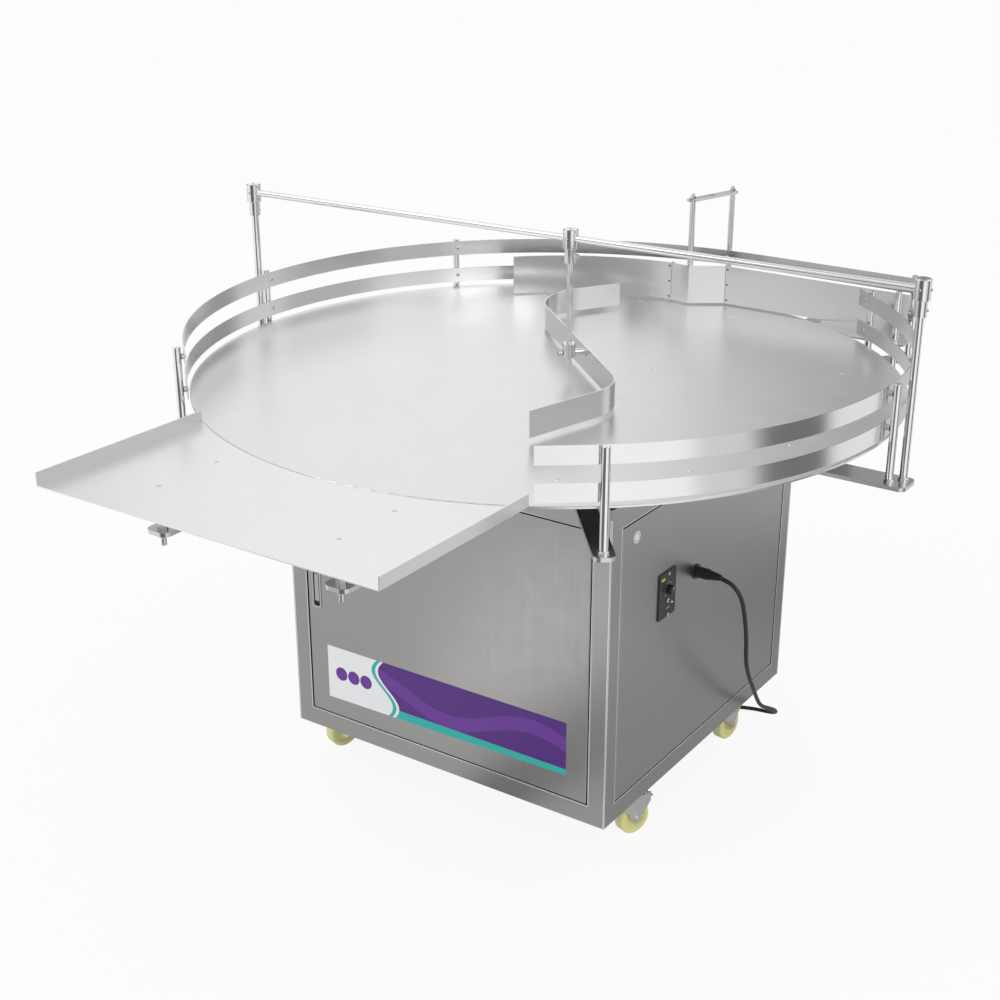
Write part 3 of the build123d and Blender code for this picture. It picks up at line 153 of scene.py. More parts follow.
class Shade:
    """One node material and the tools that wire it."""

    def __init__(self, name: str) -> None:
        """Start a material with a surface shader and its output."""
        self.material = bpy.data.materials.new(name)
        self.material.use_nodes = True
        self.tree = self.material.node_tree
        self.tree.nodes.clear()
        self.surface = self.tree.nodes.new("ShaderNodeBsdfPrincipled")
        self.output = self.tree.nodes.new("ShaderNodeOutputMaterial")
        self.tree.links.new(self.surface.outputs[0], self.output.inputs[0])

    def feed(self, socket: Any, value: Any) -> None:
        """Link a socket to an input, or write a value on it."""
        if isinstance(value, Sock):
            self.tree.links.new(value.socket, socket)
        elif socket.type == "RGBA" and len(value) == 3:
            socket.default_value = (*value, 1.0)
        else:
            socket.default_value = value

    def node(self, kind: str, settings: Optional[dict[str, Any]] = None,
             inputs: Optional[dict[Any, Any]] = None, output: Union[int, str] = 0) -> Sock:
        """Add a node.

        Args:
            kind: the node's type name.
            settings: its properties, set first.
            inputs: values or sockets for its inputs, by index or name.
            output: the output that is wanted.

        Returns:
            That output.
        """
        made = self.tree.nodes.new(kind)
        for name, value in (settings or {}).items():
            setattr(made, name, value)
        for key, value in (inputs or {}).items():
            self.feed(made.inputs[key], value)
        return Sock(self, made.outputs[output])

    def place(self) -> Sock:
        """Return the position on the piece, in metres."""
        return self.node("ShaderNodeTexCoord", output="Object")

    def split(self, vector: Sock) -> tuple[Sock, Sock, Sock]:
        """Return the three parts of a vector."""
        made = self.tree.nodes.new("ShaderNodeSeparateXYZ")
        self.feed(made.inputs[0], vector)
        return tuple(Sock(self, output) for output in made.outputs)

    def vector(self, operation: str, first: Any, second: Any = BLACK,
               output: Union[int, str] = 0) -> Sock:
        """Add a Vector Math node and return one of its outputs."""
        settings = {"operation": operation}
        return self.node("ShaderNodeVectorMath", settings, {0: first, 1: second}, output)

    def ray(self, kind: str) -> Sock:
        """Return 1 for one kind of ray and 0 for the others."""
        return self.node("ShaderNodeLightPath", output=f"Is {kind} Ray")

    def noise(self, scale: float, detail: float, stretch: Optional[Point] = None) -> Sock:
        """Return smooth noise between 0 and 1, on the position or on a stretched position."""
        place = self.vector("MULTIPLY", self.place(), stretch) if stretch else self.place()
        inputs = {"Vector": place, "Scale": scale, "Detail": detail, "Roughness": 0.55}
        return self.node("ShaderNodeTexNoise", inputs=inputs)

    def mix(self, factor: Any, first: Any, second: Any) -> Sock:
        """Return a colour between two colours."""
        inputs = {0: factor, 6: first, 7: second}
        return self.node("ShaderNodeMix", {"data_type": "RGBA"}, inputs, 2)

    def tint(self, factor: Sock, dark: Colour, light: Colour) -> Sock:
        """Return a colour that runs from dark to light with a factor."""
        inputs = {"Value": factor, "From Min": 0.3, "From Max": 0.7}
        return self.mix(self.node("ShaderNodeMapRange", inputs=inputs), dark, light)

    def dot(self, vector: Sock, way: Vector) -> Sock:
        """Return the dot product of a vector and a fixed direction."""
        return self.vector("DOT_PRODUCT", vector, tuple(way), "Value")

    def soft(self, value: Sock, low: float, high: float) -> Sock:
        """Return 0 below one value, 1 above another and a smooth step between."""
        inputs = {"Value": value, "From Min": low, "From Max": high}
        return self.node("ShaderNodeMapRange", {"interpolation_type": "SMOOTHSTEP"}, inputs)

    def lit(self, level: float, place: Sock, panels: Sequence[SoftPanel], floor: bool) -> Any:
        """Lay soft panels over an even level.

        Args:
            level: the level with no panel.
            place: a direction from the table, or a place on the floor.
            panels: the panels, from first to last.
            floor: whether the panels also have distances.

        Returns:
            The level that mirrors show.
        """
        flat = self.vector("MULTIPLY", place, (1, 1, 0))
        way = self.vector("NORMALIZE", flat)
        reach = self.vector("LENGTH", flat, output="Value")
        for panel in panels:
            even, edge = (math.cos(math.radians(turn)) for turn in (panel.inner, panel.outer))
            share = self.soft(self.dot(way, polar(1.0, panel.bearing)), edge, even)
            if floor and panel.near:
                share = share * self.soft(reach, panel.near - PANEL_EDGE, panel.near + PANEL_EDGE)
            if floor and panel.far:
                beyond = self.soft(reach, panel.far - PANEL_EDGE, panel.far + PANEL_EDGE)
                share = share * (1 - beyond)
            level = level + (panel.level - level) * share
        return level

    def steel(self, tone: Any, colour: Colour) -> Sock:
        """Return a metal's colour, from its darker to its lighter side with a tone."""
        return self.mix(tone, scaled(colour, STEEL_DARK), scaled(colour, STEEL_LIGHT))

    def bump(self, height: Sock, strength: float, distance: float) -> Sock:
        """Return a normal that follows a height."""
        inputs = {"Height": height, "Strength": strength, "Distance": distance}
        return self.node("ShaderNodeBump", inputs=inputs)

    def dress(self, **inputs: Any) -> Any:
        """Set the surface's sockets, with underscores for spaces in their names.

        Returns:
            The finished material.
        """
        for name, value in inputs.items():
            self.feed(self.surface.inputs[name.replace("_", " ")], value)
        return self.material


# Finishes


class Grain(Enum):
    """The way that the polishing lines run."""

    ALONG_X = (2.5, 700.0, 700.0)
    ALONG_Y = (700.0, 2.5, 700.0)
    ALONG_Z = (700.0, 700.0, 2.5)
    LEVEL = (3.0, 3.0, 1100.0)
    ACROSS = (260.0, 260.0, 260.0)
    RINGS = (20.0, 20.0, 2200.0)


def scaled(colour: Colour, factor: float) -> Colour:
    """Return a colour made darker or lighter."""
    return tuple(min(1.0, part * factor) for part in colour)


@dataclass(frozen=True)
class Finish:
    """A finish by name, that each kind of finish wires in its own way."""

    name: str

    def make(self) -> Any:
        """Return the material."""
        shade = Shade(self.name)
        return shade.dress(**self.skin(shade))

    def skin(self, shade: Shade) -> dict[str, Any]:
        """Return the surface's inputs, with underscores for spaces in their names."""
        raise NotImplementedError


@dataclass(frozen=True)
class Coloured(Finish):
    """A finish with one main colour and one main roughness."""

    colour: Colour
    rough: float


@dataclass(frozen=True)
class BrushedSteel(Coloured):
    """Rolled sheet or bar with fine lines of polish and soft, cloudy wear."""

    grain: Grain
    lines: float = 0.05
    clouds: float = 0.05
    relief: float = 0.12

    def skin(self, shade: Shade) -> dict[str, Any]:
        """Return the surface's inputs."""
        lines = shade.noise(1.0, 2.0, self.grain.value)
        clouds = shade.noise(4.5, 4.0)
        smudges = shade.noise(23.0, 5.0)
        tone = (lines - 0.5) * (2 * self.lines) + (clouds - 0.5) * (2 * self.clouds)
        base = shade.steel(tone + 0.5, self.colour)
        rough = self.rough + (lines - 0.5) * (3 * self.lines) + (smudges - 0.5) * 0.10
        return dict(Base_Color=base, Metallic=1.0, Roughness=rough,
                    Normal=shade.bump(lines, self.relief, 0.0004))


@dataclass(frozen=True)
class FramedSteel(Coloured):
    """Brushed frame: the lines run up its posts and along its rails."""

    low: float
    high: float

    def skin(self, shade: Shade) -> dict[str, Any]:
        """Return the surface's inputs."""
        height = shade.split(shade.place())[2]
        on_rail = (height < self.low) + (height > self.high)
        level = shade.noise(1.0, 2.0, Grain.LEVEL.value)
        upright = shade.noise(1.0, 2.0, Grain.ALONG_Z.value)
        lines = on_rail * level + (1 - on_rail) * upright
        clouds = shade.noise(6.0, 4.0)
        tone = (lines - 0.5) * 0.12 + (clouds - 0.5) * 0.12
        base = shade.steel(tone + 0.5, self.colour)
        rough = self.rough + (lines - 0.5) * 0.14 + (clouds - 0.5) * 0.08
        return dict(Base_Color=base, Metallic=1.0, Roughness=rough,
                    Normal=shade.bump(lines, 0.12, 0.0004))


@dataclass(frozen=True)
class TurnedSteel(Coloured):
    """Bright turned or plated bar with faint rings and fingermarks."""

    rings: float = 0.04

    def skin(self, shade: Shade) -> dict[str, Any]:
        """Return the surface's inputs."""
        rings = shade.noise(1.0, 1.0, Grain.RINGS.value)
        marks = shade.noise(38.0, 4.0)
        tone = 0.5 + (rings - 0.5) * self.rings + (marks - 0.5) * 0.10
        rough = self.rough + (marks - 0.5) * min(0.12, self.rough)
        return dict(Base_Color=shade.steel(tone, self.colour), Metallic=1.0, Roughness=rough,
                    Normal=shade.bump(rings, 0.05, 0.0002))


@dataclass(frozen=True)
class ClampSteel(TurnedSteel):
    """Bright machined clamp, with a near-black disc painted on its top as the shade inside a grub
    screw's hole.
    """

    painted_shade_spots: Sequence[tuple[float, float]] = ()
    top: float = 1.200
    radius: float = 0.0031

    def skin(self, shade: Shade) -> dict[str, Any]:
        """Return the surface's inputs."""
        x, y, z = shade.split(shade.place())
        # Painted shade: a near-black, rough, less metallic disc on the top stands for the dark inside of
        # each grub screw's hole.
        painted_shade: Any = 0.0
        for across, along in self.painted_shade_spots:
            reach = (x - across) * (x - across) + (y - along) * (y - along)
            painted_shade = (reach < self.radius ** 2) + painted_shade
        painted_shade = painted_shade * (z > self.top - 0.0004)
        bar = super().skin(shade)
        bar["Base_Color"] = shade.mix(painted_shade, bar["Base_Color"], (0.02, 0.02, 0.022))
        bar["Roughness"] += 0.4 * painted_shade
        bar["Metallic"] = 1 - 0.6 * painted_shade
        return bar


@dataclass(frozen=True)
class Moulded(Coloured):
    """Moulded plastic or rubber with a fine spark-eroded skin."""

    pebble: float = 900.0
    relief: float = 0.15
    variety: float = 0.12
    coat: float = 0.0

    def skin(self, shade: Shade) -> dict[str, Any]:
        """Return the surface's inputs."""
        pebbles = shade.noise(self.pebble, 3.0)
        wear = shade.noise(30.0, 4.0)
        base = shade.tint(wear, scaled(self.colour, 1 - self.variety),
                          scaled(self.colour, 1 + self.variety))
        rough = self.rough + (wear - 0.5) * 0.18 + (pebbles - 0.5) * 0.06
        return dict(Base_Color=base, Roughness=rough, Coat_Weight=self.coat,
                    Normal=shade.bump(pebbles, self.relief, 0.0003))


@dataclass(frozen=True)
class Painted(Coloured):
    """Stoved paint over a casting, with orange peel and rubbed spots."""

    def skin(self, shade: Shade) -> dict[str, Any]:
        """Return the surface's inputs."""
        peel = shade.noise(320.0, 2.0)
        dust = shade.noise(14.0, 5.0)
        base = shade.tint(dust, scaled(self.colour, 0.8), scaled(self.colour, 1.25))
        return dict(Base_Color=base, Roughness=self.rough + (dust - 0.5) * 0.2,
                    Normal=shade.bump(peel, 0.2, 0.0005))


@dataclass(frozen=True)
class DoorLabel(Finish):
    """Printed film with a plain design: a pale end, a violet field and teal edges."""

    pale: Colour = (0.93, 0.93, 0.94)
    violet: Colour = (0.088, 0.014, 0.225)
    light_violet: Colour = (0.15, 0.032, 0.33)
    teal: Colour = (0.02, 0.49, 0.43)
    left: float = -0.308
    width: float = 0.614
    low: float = 0.192

    def skin(self, shade: Shade) -> dict[str, Any]:
        """Return the surface's inputs."""
        x, y, z = shade.split(shade.place())
        along = (x - self.left) / self.width
        up = (z - self.low) / 0.125
        edge = 0.27 + 0.045 * (up * 5.2 + 0.6).sine()
        on_field = along > edge
        sweep = (abs(up - 0.52 - 0.22 * (along * 9.0).sine()) < 0.13) * on_field
        foot = (up < 0.17) * on_field
        rim = (abs(along - edge + 0.02) < 0.008)
        base = shade.mix(on_field, self.pale, self.violet)
        for mask, colour in ((sweep, self.light_violet), (foot, self.teal), (rim, self.teal),
                             (self.dots(along, up), self.light_violet)):
            base = shade.mix(mask, base, colour)
        film = shade.noise(60.0, 3.0)
        return dict(Base_Color=base, Roughness=0.5 + (film - 0.5) * 0.12, Coat_Weight=0.04,
                    Normal=shade.bump(film, 0.03, 0.0003))

    def dots(self, along: Sock, up: Sock) -> Sock:
        """Return a mask of three round spots on the pale end."""
        mask: Any = 0.0
        for place in (0.06, 0.115, 0.17):
            across = (along - place) * (self.width / 0.125)
            reach = across * across + (up - 0.5) * (up - 0.5)
            mask = (reach < 0.016) + mask
        return mask


@dataclass(frozen=True)
class RoundSticker(Finish):
    """Small white disc of film with a thin grey ring."""

    centre: Point
    radius: float

    def skin(self, shade: Shade) -> dict[str, Any]:
        """Return the surface's inputs."""
        x, y, z = shade.split(shade.place())
        reach = ((y - self.centre[1]) ** 2.0 + (z - self.centre[2]) ** 2.0) ** 0.5
        ring = abs(reach - self.radius * 0.72) < self.radius * 0.07
        grain = shade.noise(400.0, 2.0)
        base = shade.mix(ring, (0.86, 0.87, 0.88), (0.28, 0.30, 0.33))
        return dict(Base_Color=base, Roughness=0.4 + (grain - 0.5) * 0.1)


@dataclass(frozen=True)
class StudioFloor:
    """Pale floor that shows white to the camera and keeps the table's shadow; to mirrors it glows with
    painted panels of light and shade, with a painted shadow of the table near it.
    """

    panels: Sequence[SoftPanel]
    name: str = "studio_floor"
    level: float = 0.8
    brightest: float = 1.6
    by_camera: float = 0.9
    by_mirrors: float = 0.88

    def make(self) -> Any:
        """Return the material."""
        shade = Shade(self.name)
        grain = shade.noise(9.0, 2.0)
        base = shade.tint(grain, (0.92, 0.92, 0.92), (0.94, 0.94, 0.94))
        shade.dress(Base_Color=base, Roughness=0.9)
        shade.surface.inputs["Specular IOR Level"].default_value = 0.0
        # Painted light and shade: mirrors see the floor glow with panels, darker near the table as its
        # painted shadow.
        tone = shade.lit(self.level, shade.place(), self.panels, True) * (1 / self.brightest)
        mirrored = shade.mix(tone, BLACK, WHITE)
        colour = shade.mix(shade.ray("Camera"), mirrored, scaled(WHITE, 1 / self.brightest))
        glow = shade.node("ShaderNodeEmission", inputs={"Color": colour, "Strength": self.brightest})
        mirrors = shade.ray("Glossy") + shade.ray("Transmission")
        blend = shade.node("ShaderNodeMixShader", inputs={
            0: shade.ray("Camera") * self.by_camera + mirrors * self.by_mirrors,
            1: Sock(shade, shade.surface.outputs[0]), 2: glow})
        shade.tree.links.new(blend.socket, shade.output.inputs[0])
        return shade.material


class Surround(Shade):
    """The world's nodes: even light, and the studio that mirrors show."""

    def __init__(self, world: Any) -> None:
        """Start from an empty world."""
        world.use_nodes = True
        self.material = world
        self.tree = world.node_tree
        self.tree.nodes.clear()
        self.output = self.tree.nodes.new("ShaderNodeOutputWorld")

    def backdrop(self, colour: Any, strength: float) -> Sock:
        """Return a background of one strength."""
        return self.node("ShaderNodeBackground", inputs={0: colour, 1: strength})

    def make(self, light: float, even: float, ceiling: float,
             panels: Sequence[SoftPanel]) -> None:
        """Wire the world.

        Args:
            light: strength of the light on matt surfaces.
            even: level that mirrors show between the panels, and nearly so overhead.
            ceiling: level that mirrors show high up.
            panels: soft panels that stand round the table, for mirrors.
        """
        around = self.node("ShaderNodeTexCoord", output="Generated")
        brightest = max(panel.level for panel in panels)
        ring = self.lit(even, around, panels, False)
        up = self.split(around)[2]
        high, overhead = self.soft(up, 0.45, 0.75), self.soft(up, 0.82, 0.97) * 0.8
        level = ring + (ceiling - ring) * high
        tone = (level + (even - level) * overhead) * (1 / brightest)
        mirrored = self.mix(tone, BLACK, (0.985, 0.99, 1.0))
        unseen = self.node("ShaderNodeMixShader", inputs={
            0: self.ray("Glossy"), 1: self.backdrop((0.97, 0.985, 1.0), light),
            2: self.backdrop(mirrored, brightest)})
        blend = self.node("ShaderNodeMixShader", inputs={
            0: self.ray("Camera"), 1: unseen, 2: self.backdrop(WHITE, 1.0)})
        self.tree.links.new(blend.socket, self.output.inputs[0])


# Mesh tools


@dataclass
class Mould:
    """Collects faces in one mesh and turns them into a piece."""

    name: str
    mesh: Any = field(default_factory=bmesh.new)

    def loft(self, rings: Sequence[Sequence[Vector]], closed: bool = False) -> None:
        """Skin a row of loops, and cap its ends or close it on itself."""
        rows = [[self.mesh.verts.new(point) for point in points] for points in rings]
        count = len(rows[0])
        for first, second in zip(rows, rows[1:] + rows[:1] * closed):
            for index in range(count):
                after = (index + 1) % count
                self.mesh.faces.new((first[index], first[after], second[after], second[index]))
        if not closed:
            self.mesh.faces.new(rows[0][::-1])
            self.mesh.faces.new(rows[-1])

    def turned(self, start: Vector, way: Vector, profile: Sequence[tuple[float, float]],
               steps: int = 24, closed: bool = False) -> None:
        """Add a turned shape.

        Args:
            start: the point on the axis where the profile's length is 0.
            way: the direction of the axis.
            profile: pairs of length along the axis and radius.
            steps: points in each loop.
            closed: whether the profile ends where it starts, as a ring's does.
        """
        side = way.orthogonal().normalized()
        up = way.cross(side).normalized()
        rings = []
        for along, radius in profile:
            turns = [2 * math.pi * step / steps for step in range(steps)]
            rings.append([start + along * way + radius * (math.cos(t) * side + math.sin(t) * up)
                          for t in turns])
        self.loft(rings, closed)

    def plate(self, outline: Sequence[Vector], depth: Vector) -> None:
        """Add a plate with an outline and a depth."""
        self.loft([outline, [point + depth for point in outline]])

    def piece(self, body: str, material: Any, smooth: float = 35.0) -> Any:
        """Finish the mesh as a piece that rides on a body.

        Args:
            body: the body that carries it.
            material: its finish.
            smooth: the largest angle, in degrees, that is shaded smooth.

        Returns:
            The new object.
        """
        bmesh.ops.recalc_face_normals(self.mesh, faces=self.mesh.faces[:])
        data = bpy.data.meshes.new(self.name)
        self.mesh.to_mesh(data)
        self.mesh.free()
        data.materials.append(material)
        for polygon in data.polygons:
            polygon.use_smooth = True
        made = placed(self.name, data)
        data.set_sharp_from_angle(angle=math.radians(smooth))
        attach(made, body)
        LOG.info("piece %s on %s, %d faces", self.name, body, len(data.polygons))
        return made


def turned_piece(label: tuple[str, str, str], material: Any, spots: Sequence[tuple[Vector, Vector]],
                 profile: Sequence[tuple[float, float]], steps: int = 24,
                 closed: bool = False) -> Any:
    """Make one piece of the same turned shape at many places.

    Args:
        label: the piece's name, the body that carries it and its slot; the slot is not used.
        material: its finish.
        spots: pairs of a place and the way that the shape points.
        profile, steps, closed: as for Mould.turned.
    """
    name, body, slot = label
    mould = Mould(name)
    for place, way in spots:
        mould.turned(place, way, profile, steps, closed)
    return mould.piece(body, material)


# Finishes of the nodes


PANEL = (0.375, 0.37, 0.365)
BRIGHT = (0.78, 0.785, 0.80)
CORNERS = ("front_left", "front_right", "back_right", "back_left")
TALL_POST = (0.789, 0.033)
SLIDER_X = 0.046


def clamp_places() -> list[tuple[float, float]]:
    """Return the middles of the cross bar's right, left and sliding clamps, in metres."""
    across, along = TALL_POST
    return [(across, along), (-across, -along), (SLIDER_X, SLIDER_X * along / across)]


@dataclass
class Finishes:
    """Every finish, made once, and the nodes that wear it."""

    made: dict[str, Any] = field(default_factory=dict)

    def table(self) -> list[tuple[Finish, str]]:
        """Return each finish with the nodes that it goes on."""
        forks, wheels, pedals = (" ".join(f"{name}_{corner}" for corner in CORNERS)
                                 for name in ("caster_fork", "caster_wheel", "brake_pedal"))
        return [
            (BrushedSteel("door_steel", PANEL, 0.34, Grain.ALONG_Z),
             "door_panel side_panels right_panel"),
            (FramedSteel("frame_steel", PANEL, 0.33, 0.147, 0.746), "cabinet_frame"),
            (BrushedSteel("cover_steel", PANEL, 0.33, Grain.LEVEL), "cabinet_top_plate"),
            (BrushedSteel("disc_sheet", (0.76, 0.76, 0.765), 0.30, Grain.ALONG_Y, 0.015, 0.05, 0.02),
             "turntable_disc"),
            (BrushedSteel("plate_steel", (0.68, 0.68, 0.69), 0.33, Grain.ALONG_X), "transfer_plate"),
            (BrushedSteel("band_steel", BRIGHT, 0.16, Grain.LEVEL, 0.04),
             "right_rails left_rails guide_band gate_curved_plate gate_fold_plate outlet_wall"),
            (BrushedSteel("tray_sheet", (0.90, 0.90, 0.905), 0.30, Grain.ALONG_X, 0.02, 0.02),
             "infeed_tray"),
            (TurnedSteel("post_steel", (0.84, 0.85, 0.88), 0.06),
             "rail_posts tall_posts cross_bar guide_rod gate_fold_rod"),
            (ClampSteel("clamp_steel", (0.72, 0.73, 0.77), 0.12, 0.08, clamp_places()),
             "bar_end_knuckles guide_slider guide_clamp run_switch"),
            (TurnedSteel("thumb_steel", (0.55, 0.55, 0.57), 0.28, 0.10),
             "slider_thumb_screw clamp_thumb_screw"),
            (BrushedSteel("arm_steel", (0.58, 0.58, 0.59), 0.24, Grain.ACROSS, 0.02, 0.06, 0.02),
             "rail_arms tray_support_bars gate_slotted_bar"),
            (BrushedSteel("bridge_steel", (0.45, 0.45, 0.45), 0.4, Grain.ALONG_X), "drive_bridge"),
            (TurnedSteel("fixing_steel", (0.60, 0.60, 0.61), 0.30, 0.08), "rail_fixings tray_studs"),
            (TurnedSteel("caster_steel", (0.66, 0.65, 0.62), 0.33, 0.06), "caster_plates " + forks),
            (Moulded("wheel_nylon", (0.84, 0.80, 0.36), 0.45, 700.0, 0.1, 0.06, 0.1), wheels),
            (TurnedSteel("pedal_chrome", (0.78, 0.78, 0.79), 0.10), pedals),
            (Moulded("black_plastic", (0.018, 0.018, 0.019), 0.42),
             "speed_controller cord_gland mains_plug"),
            (Moulded("knob_plastic", (0.022, 0.022, 0.022), 0.36, 1200.0), "speed_knob"),
            (Moulded("belt_rubber", (0.02, 0.02, 0.02), 0.7), "drive_belt"),
            (TurnedSteel("pulley_alloy", (0.70, 0.70, 0.71), 0.32, 0.10),
             "driven_pulley drive_pulley"),
            (BrushedSteel("backing_alloy", (0.42, 0.42, 0.43), 0.42, Grain.ALONG_X), "disc_backing"),
            (Painted("housing_iron", (0.10, 0.11, 0.12), 0.55), "bearing_housings"),
            (Painted("motor_paint", (0.05, 0.09, 0.14), 0.42), "gear_motor"),
            (TurnedSteel("spindle_steel", (0.55, 0.55, 0.56), 0.28, 0.12), "main_spindle"),
            (BrushedSteel("latch_steel", (0.46, 0.46, 0.46), 0.3, Grain.ALONG_Z),
             "door_latch_housing door_latch_lever"),
        ]

    def apply(self) -> None:
        """Put each finish on its nodes."""
        for finish, nodes in self.table():
            material = self.extra(finish)
            for node in nodes.split():
                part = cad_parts[node]
                part.data.materials.clear()
                part.data.materials.append(material)
            LOG.info("finish %s on %s", finish.name, nodes)

    def extra(self, finish: Finish) -> Any:
        """Make and keep a finish."""
        self.made[finish.name] = finish.make()
        return self.made[finish.name]


# Camera and cord


@dataclass
class Camera:
    """The photograph's viewpoint."""

    place: Point = (1.7813, -2.7582, 1.9275)
    yaw: float = 32.752
    pitch: float = 22.703
    roll: float = 0.6965
    lens: float = 58.05
    shift: tuple[float, float] = (-0.0507, 0.0159)

    def build(self) -> None:
        """Create the camera and make it the scene's own."""
        yaw, pitch, roll = (math.radians(angle) for angle in (self.yaw, self.pitch, self.roll))
        view = Vector((-math.sin(yaw) * math.cos(pitch), math.cos(yaw) * math.cos(pitch),
                       -math.sin(pitch)))
        right = view.cross(UP).normalized()
        up = right.cross(view)
        across = math.cos(roll) * right + math.sin(roll) * up
        above = -math.sin(roll) * right + math.cos(roll) * up
        data = bpy.data.cameras.new("camera")
        data.lens = self.lens
        data.sensor_width = 36.0
        data.shift_x, data.shift_y = self.shift
        camera = placed("camera", data)
        turn = Matrix((across, above, -view)).transposed()
        camera.matrix_world = Matrix.Translation(self.place) @ turn.to_4x4()
        bpy.context.scene.camera = camera


@dataclass
class MainsCord:
    """The supply cord: its drop from the panel, its coil under the cabinet and its tail."""

    diameter: float = 0.009
    route: Sequence[Point] = (
        (428, -51, 542), (472, -51, 542), (502, -46, 512), (502, -22, 450),
        (497, 2, 388), (490, 20, 330), (481, 58, 275), (469, 110, 220), (456, 160, 168),
        (447, 205, 122), (446, 255, 92), (440, 305, 62), (426, 345, 32), (399, 370, 12),
        (355, 376, 5), (308, 358, 4.6), (270, 330, 4.5), (236, 311, 4.5),
    )
    centre: Point = (195, 250, 0)
    middle: float = 54.0
    pitch: float = 9.3
    lift: float = 9.0
    tail_angle: float = 120.0
    swell: float = 1.0173  # the smooth curve runs inside its control points
    sides: int = 5
    smoothness: int = 8

    def slots(self) -> list[tuple[float, float]]:
        """Return the radius and height of each turn of the coil, from first to last."""
        outer = self.middle + self.pitch / 2
        inner = self.middle - self.pitch / 2
        low = self.diameter / MM / 2
        return [(outer, low), (inner, low), (inner, low + self.lift),
                (inner, low + 2 * self.lift), (outer, low + 2 * self.lift), (outer, low + self.lift)]

    def coil(self) -> list[Vector]:
        """Return the points of the coil, one slot after another."""
        slots = self.slots()
        last = 360.0 * 5 + self.tail_angle
        points = []
        angle = 90.0
        while angle <= last:
            radius, height = slots[0]
            for index in range(1, len(slots)):
                end = 90 + 360 * index - 65 * (index - 1)
                share = min(1.0, max(0.0, (angle - end + 60) / 60))
                radius += (slots[index][0] - slots[index - 1][0]) * share
                height += (slots[index][1] - slots[index - 1][1]) * share
            turn = math.radians(angle)
            reach = radius * self.swell
            points.append(Vector((self.centre[0] + reach * math.cos(turn),
                                  self.centre[1] + reach * math.sin(turn), height)))
            angle += 22.5
        return points

    def tail(self) -> list[Vector]:
        """Return the straight tail from the coil to the plug."""
        outer, height = self.slots()[-1]
        start = Vector((*self.centre[:2], height)) + polar(outer, self.tail_angle)
        way = polar(1.0, self.tail_angle + 90)
        return [start + reach * way for reach in (18.0, 36.0, 53.0)]

    def build(self, finishes: Finishes) -> None:
        """Make the cord and its strain relief."""
        points = [Vector(point) for point in self.route] + self.coil() + self.tail()
        data = bpy.data.curves.new("supply_cord", "CURVE")
        data.dimensions = "3D"
        data.bevel_depth = 1.0  # times each point's radius
        data.bevel_resolution = self.sides
        data.resolution_u = self.smoothness
        data.use_fill_caps = True
        spline = data.splines.new("NURBS")
        spline.points.add(len(points) - 1)
        for control, point in zip(spline.points, points):
            control.co = (*(point * MM), 1.0)
            control.radius = self.diameter / 2
        spline.order_u = 3
        spline.use_endpoint_u = True
        cord = placed("supply_cord", data)
        data.materials.append(finishes.extra(
            Moulded("cord_rubber", (0.016, 0.016, 0.017), 0.5, 500.0, 0.2)))
        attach(cord, "chassis")
        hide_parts("power_cord", "cord_coil")
        self.length(cord)
        self.relief(finishes)

    def length(self, cord: Any) -> float:
        """Return the length of the cord's own line."""
        depth = cord.data.bevel_depth
        cord.data.bevel_depth = 0.0
        bpy.context.view_layer.update()
        line = bpy.data.meshes.new_from_object(cord)
        cord.data.bevel_depth = depth
        total = sum((line.vertices[a].co - line.vertices[b].co).length
                    for a, b in (edge.vertices for edge in line.edges))
        LOG.info("cord line %.3f m", total)
        return round(total, 3)

    def relief(self, finishes: Finishes) -> Any:
        """Make the ribbed, tapered sleeve where the cord leaves the gland."""
        profile = [(0.0, 0.0105)]
        for index in range(6):
            start = 0.0005 + index * 0.0046
            radius = 0.0108 - index * 0.0008
            profile += [(start, radius), (start + 0.0028, radius), (start + 0.0032, radius - 0.0022),
                        (start + 0.0044, radius - 0.0022)]
        profile += [(0.0285, 0.0062), (0.0295, 0.0052)]
        return turned_piece(("strain_relief", "chassis", "black_plastic"),
                            finishes.made["black_plastic"], [(metres(self.route[0]), OUT)], profile)


# Details


@dataclass
class DiscScrews:
    """Low bright screws in two rings on the disc."""

    outer: tuple[int, float, float] = (16, 0.6275, 146.77)
    inner: tuple[int, float, float] = (6, 0.2194, -138.2)
    radius: float = 0.0050

    def build(self, finishes: Finishes) -> None:
        """Make the screw heads, and a darker disc on each as the painted shade of its socket."""
        spots = [(polar(reach, phase + index * 360 / count, DISC_TOP), UP)
                 for count, reach, phase in (self.outer, self.inner) for index in range(count)]
        dome = [(0.0, self.radius), (0.0003, self.radius - 0.0003), (0.0006, self.radius * 0.6),
                (0.0007, self.radius * 0.4)]
        screw = finishes.extra(TurnedSteel("disc_screw_steel", (0.92, 0.92, 0.93), 0.22))
        turned_piece(("disc_screw_heads", "disc", "disc_steel"), screw, spots, dome)
        # Painted shade: a darker steel disc on each head stands for its socket's dark recess.
        turned_piece(("disc_screw_socket_shades", "disc", "disc_steel"), finishes.made["thumb_steel"],
                     spots, [(0.0006, 0.0014), (0.00075, 0.0014)], 6)


@dataclass
class DoorFilm:
    """The printed film on the door, in a plain design of its own."""

    corners: Sequence[tuple[float, float]] = ((-308, 190), (306, 200), (306, 319), (-308, 316))
    thickness: float = 0.4

    def build(self, finishes: Finishes) -> None:
        """Make the film."""
        mould = Mould("door_film")
        outline = [metres((x, -FACE / MM, z)) for x, z in self.corners]
        mould.plate(outline, Vector((0, -self.thickness * MM, 0)))
        mould.piece("door", finishes.extra(DoorLabel("film_print")))


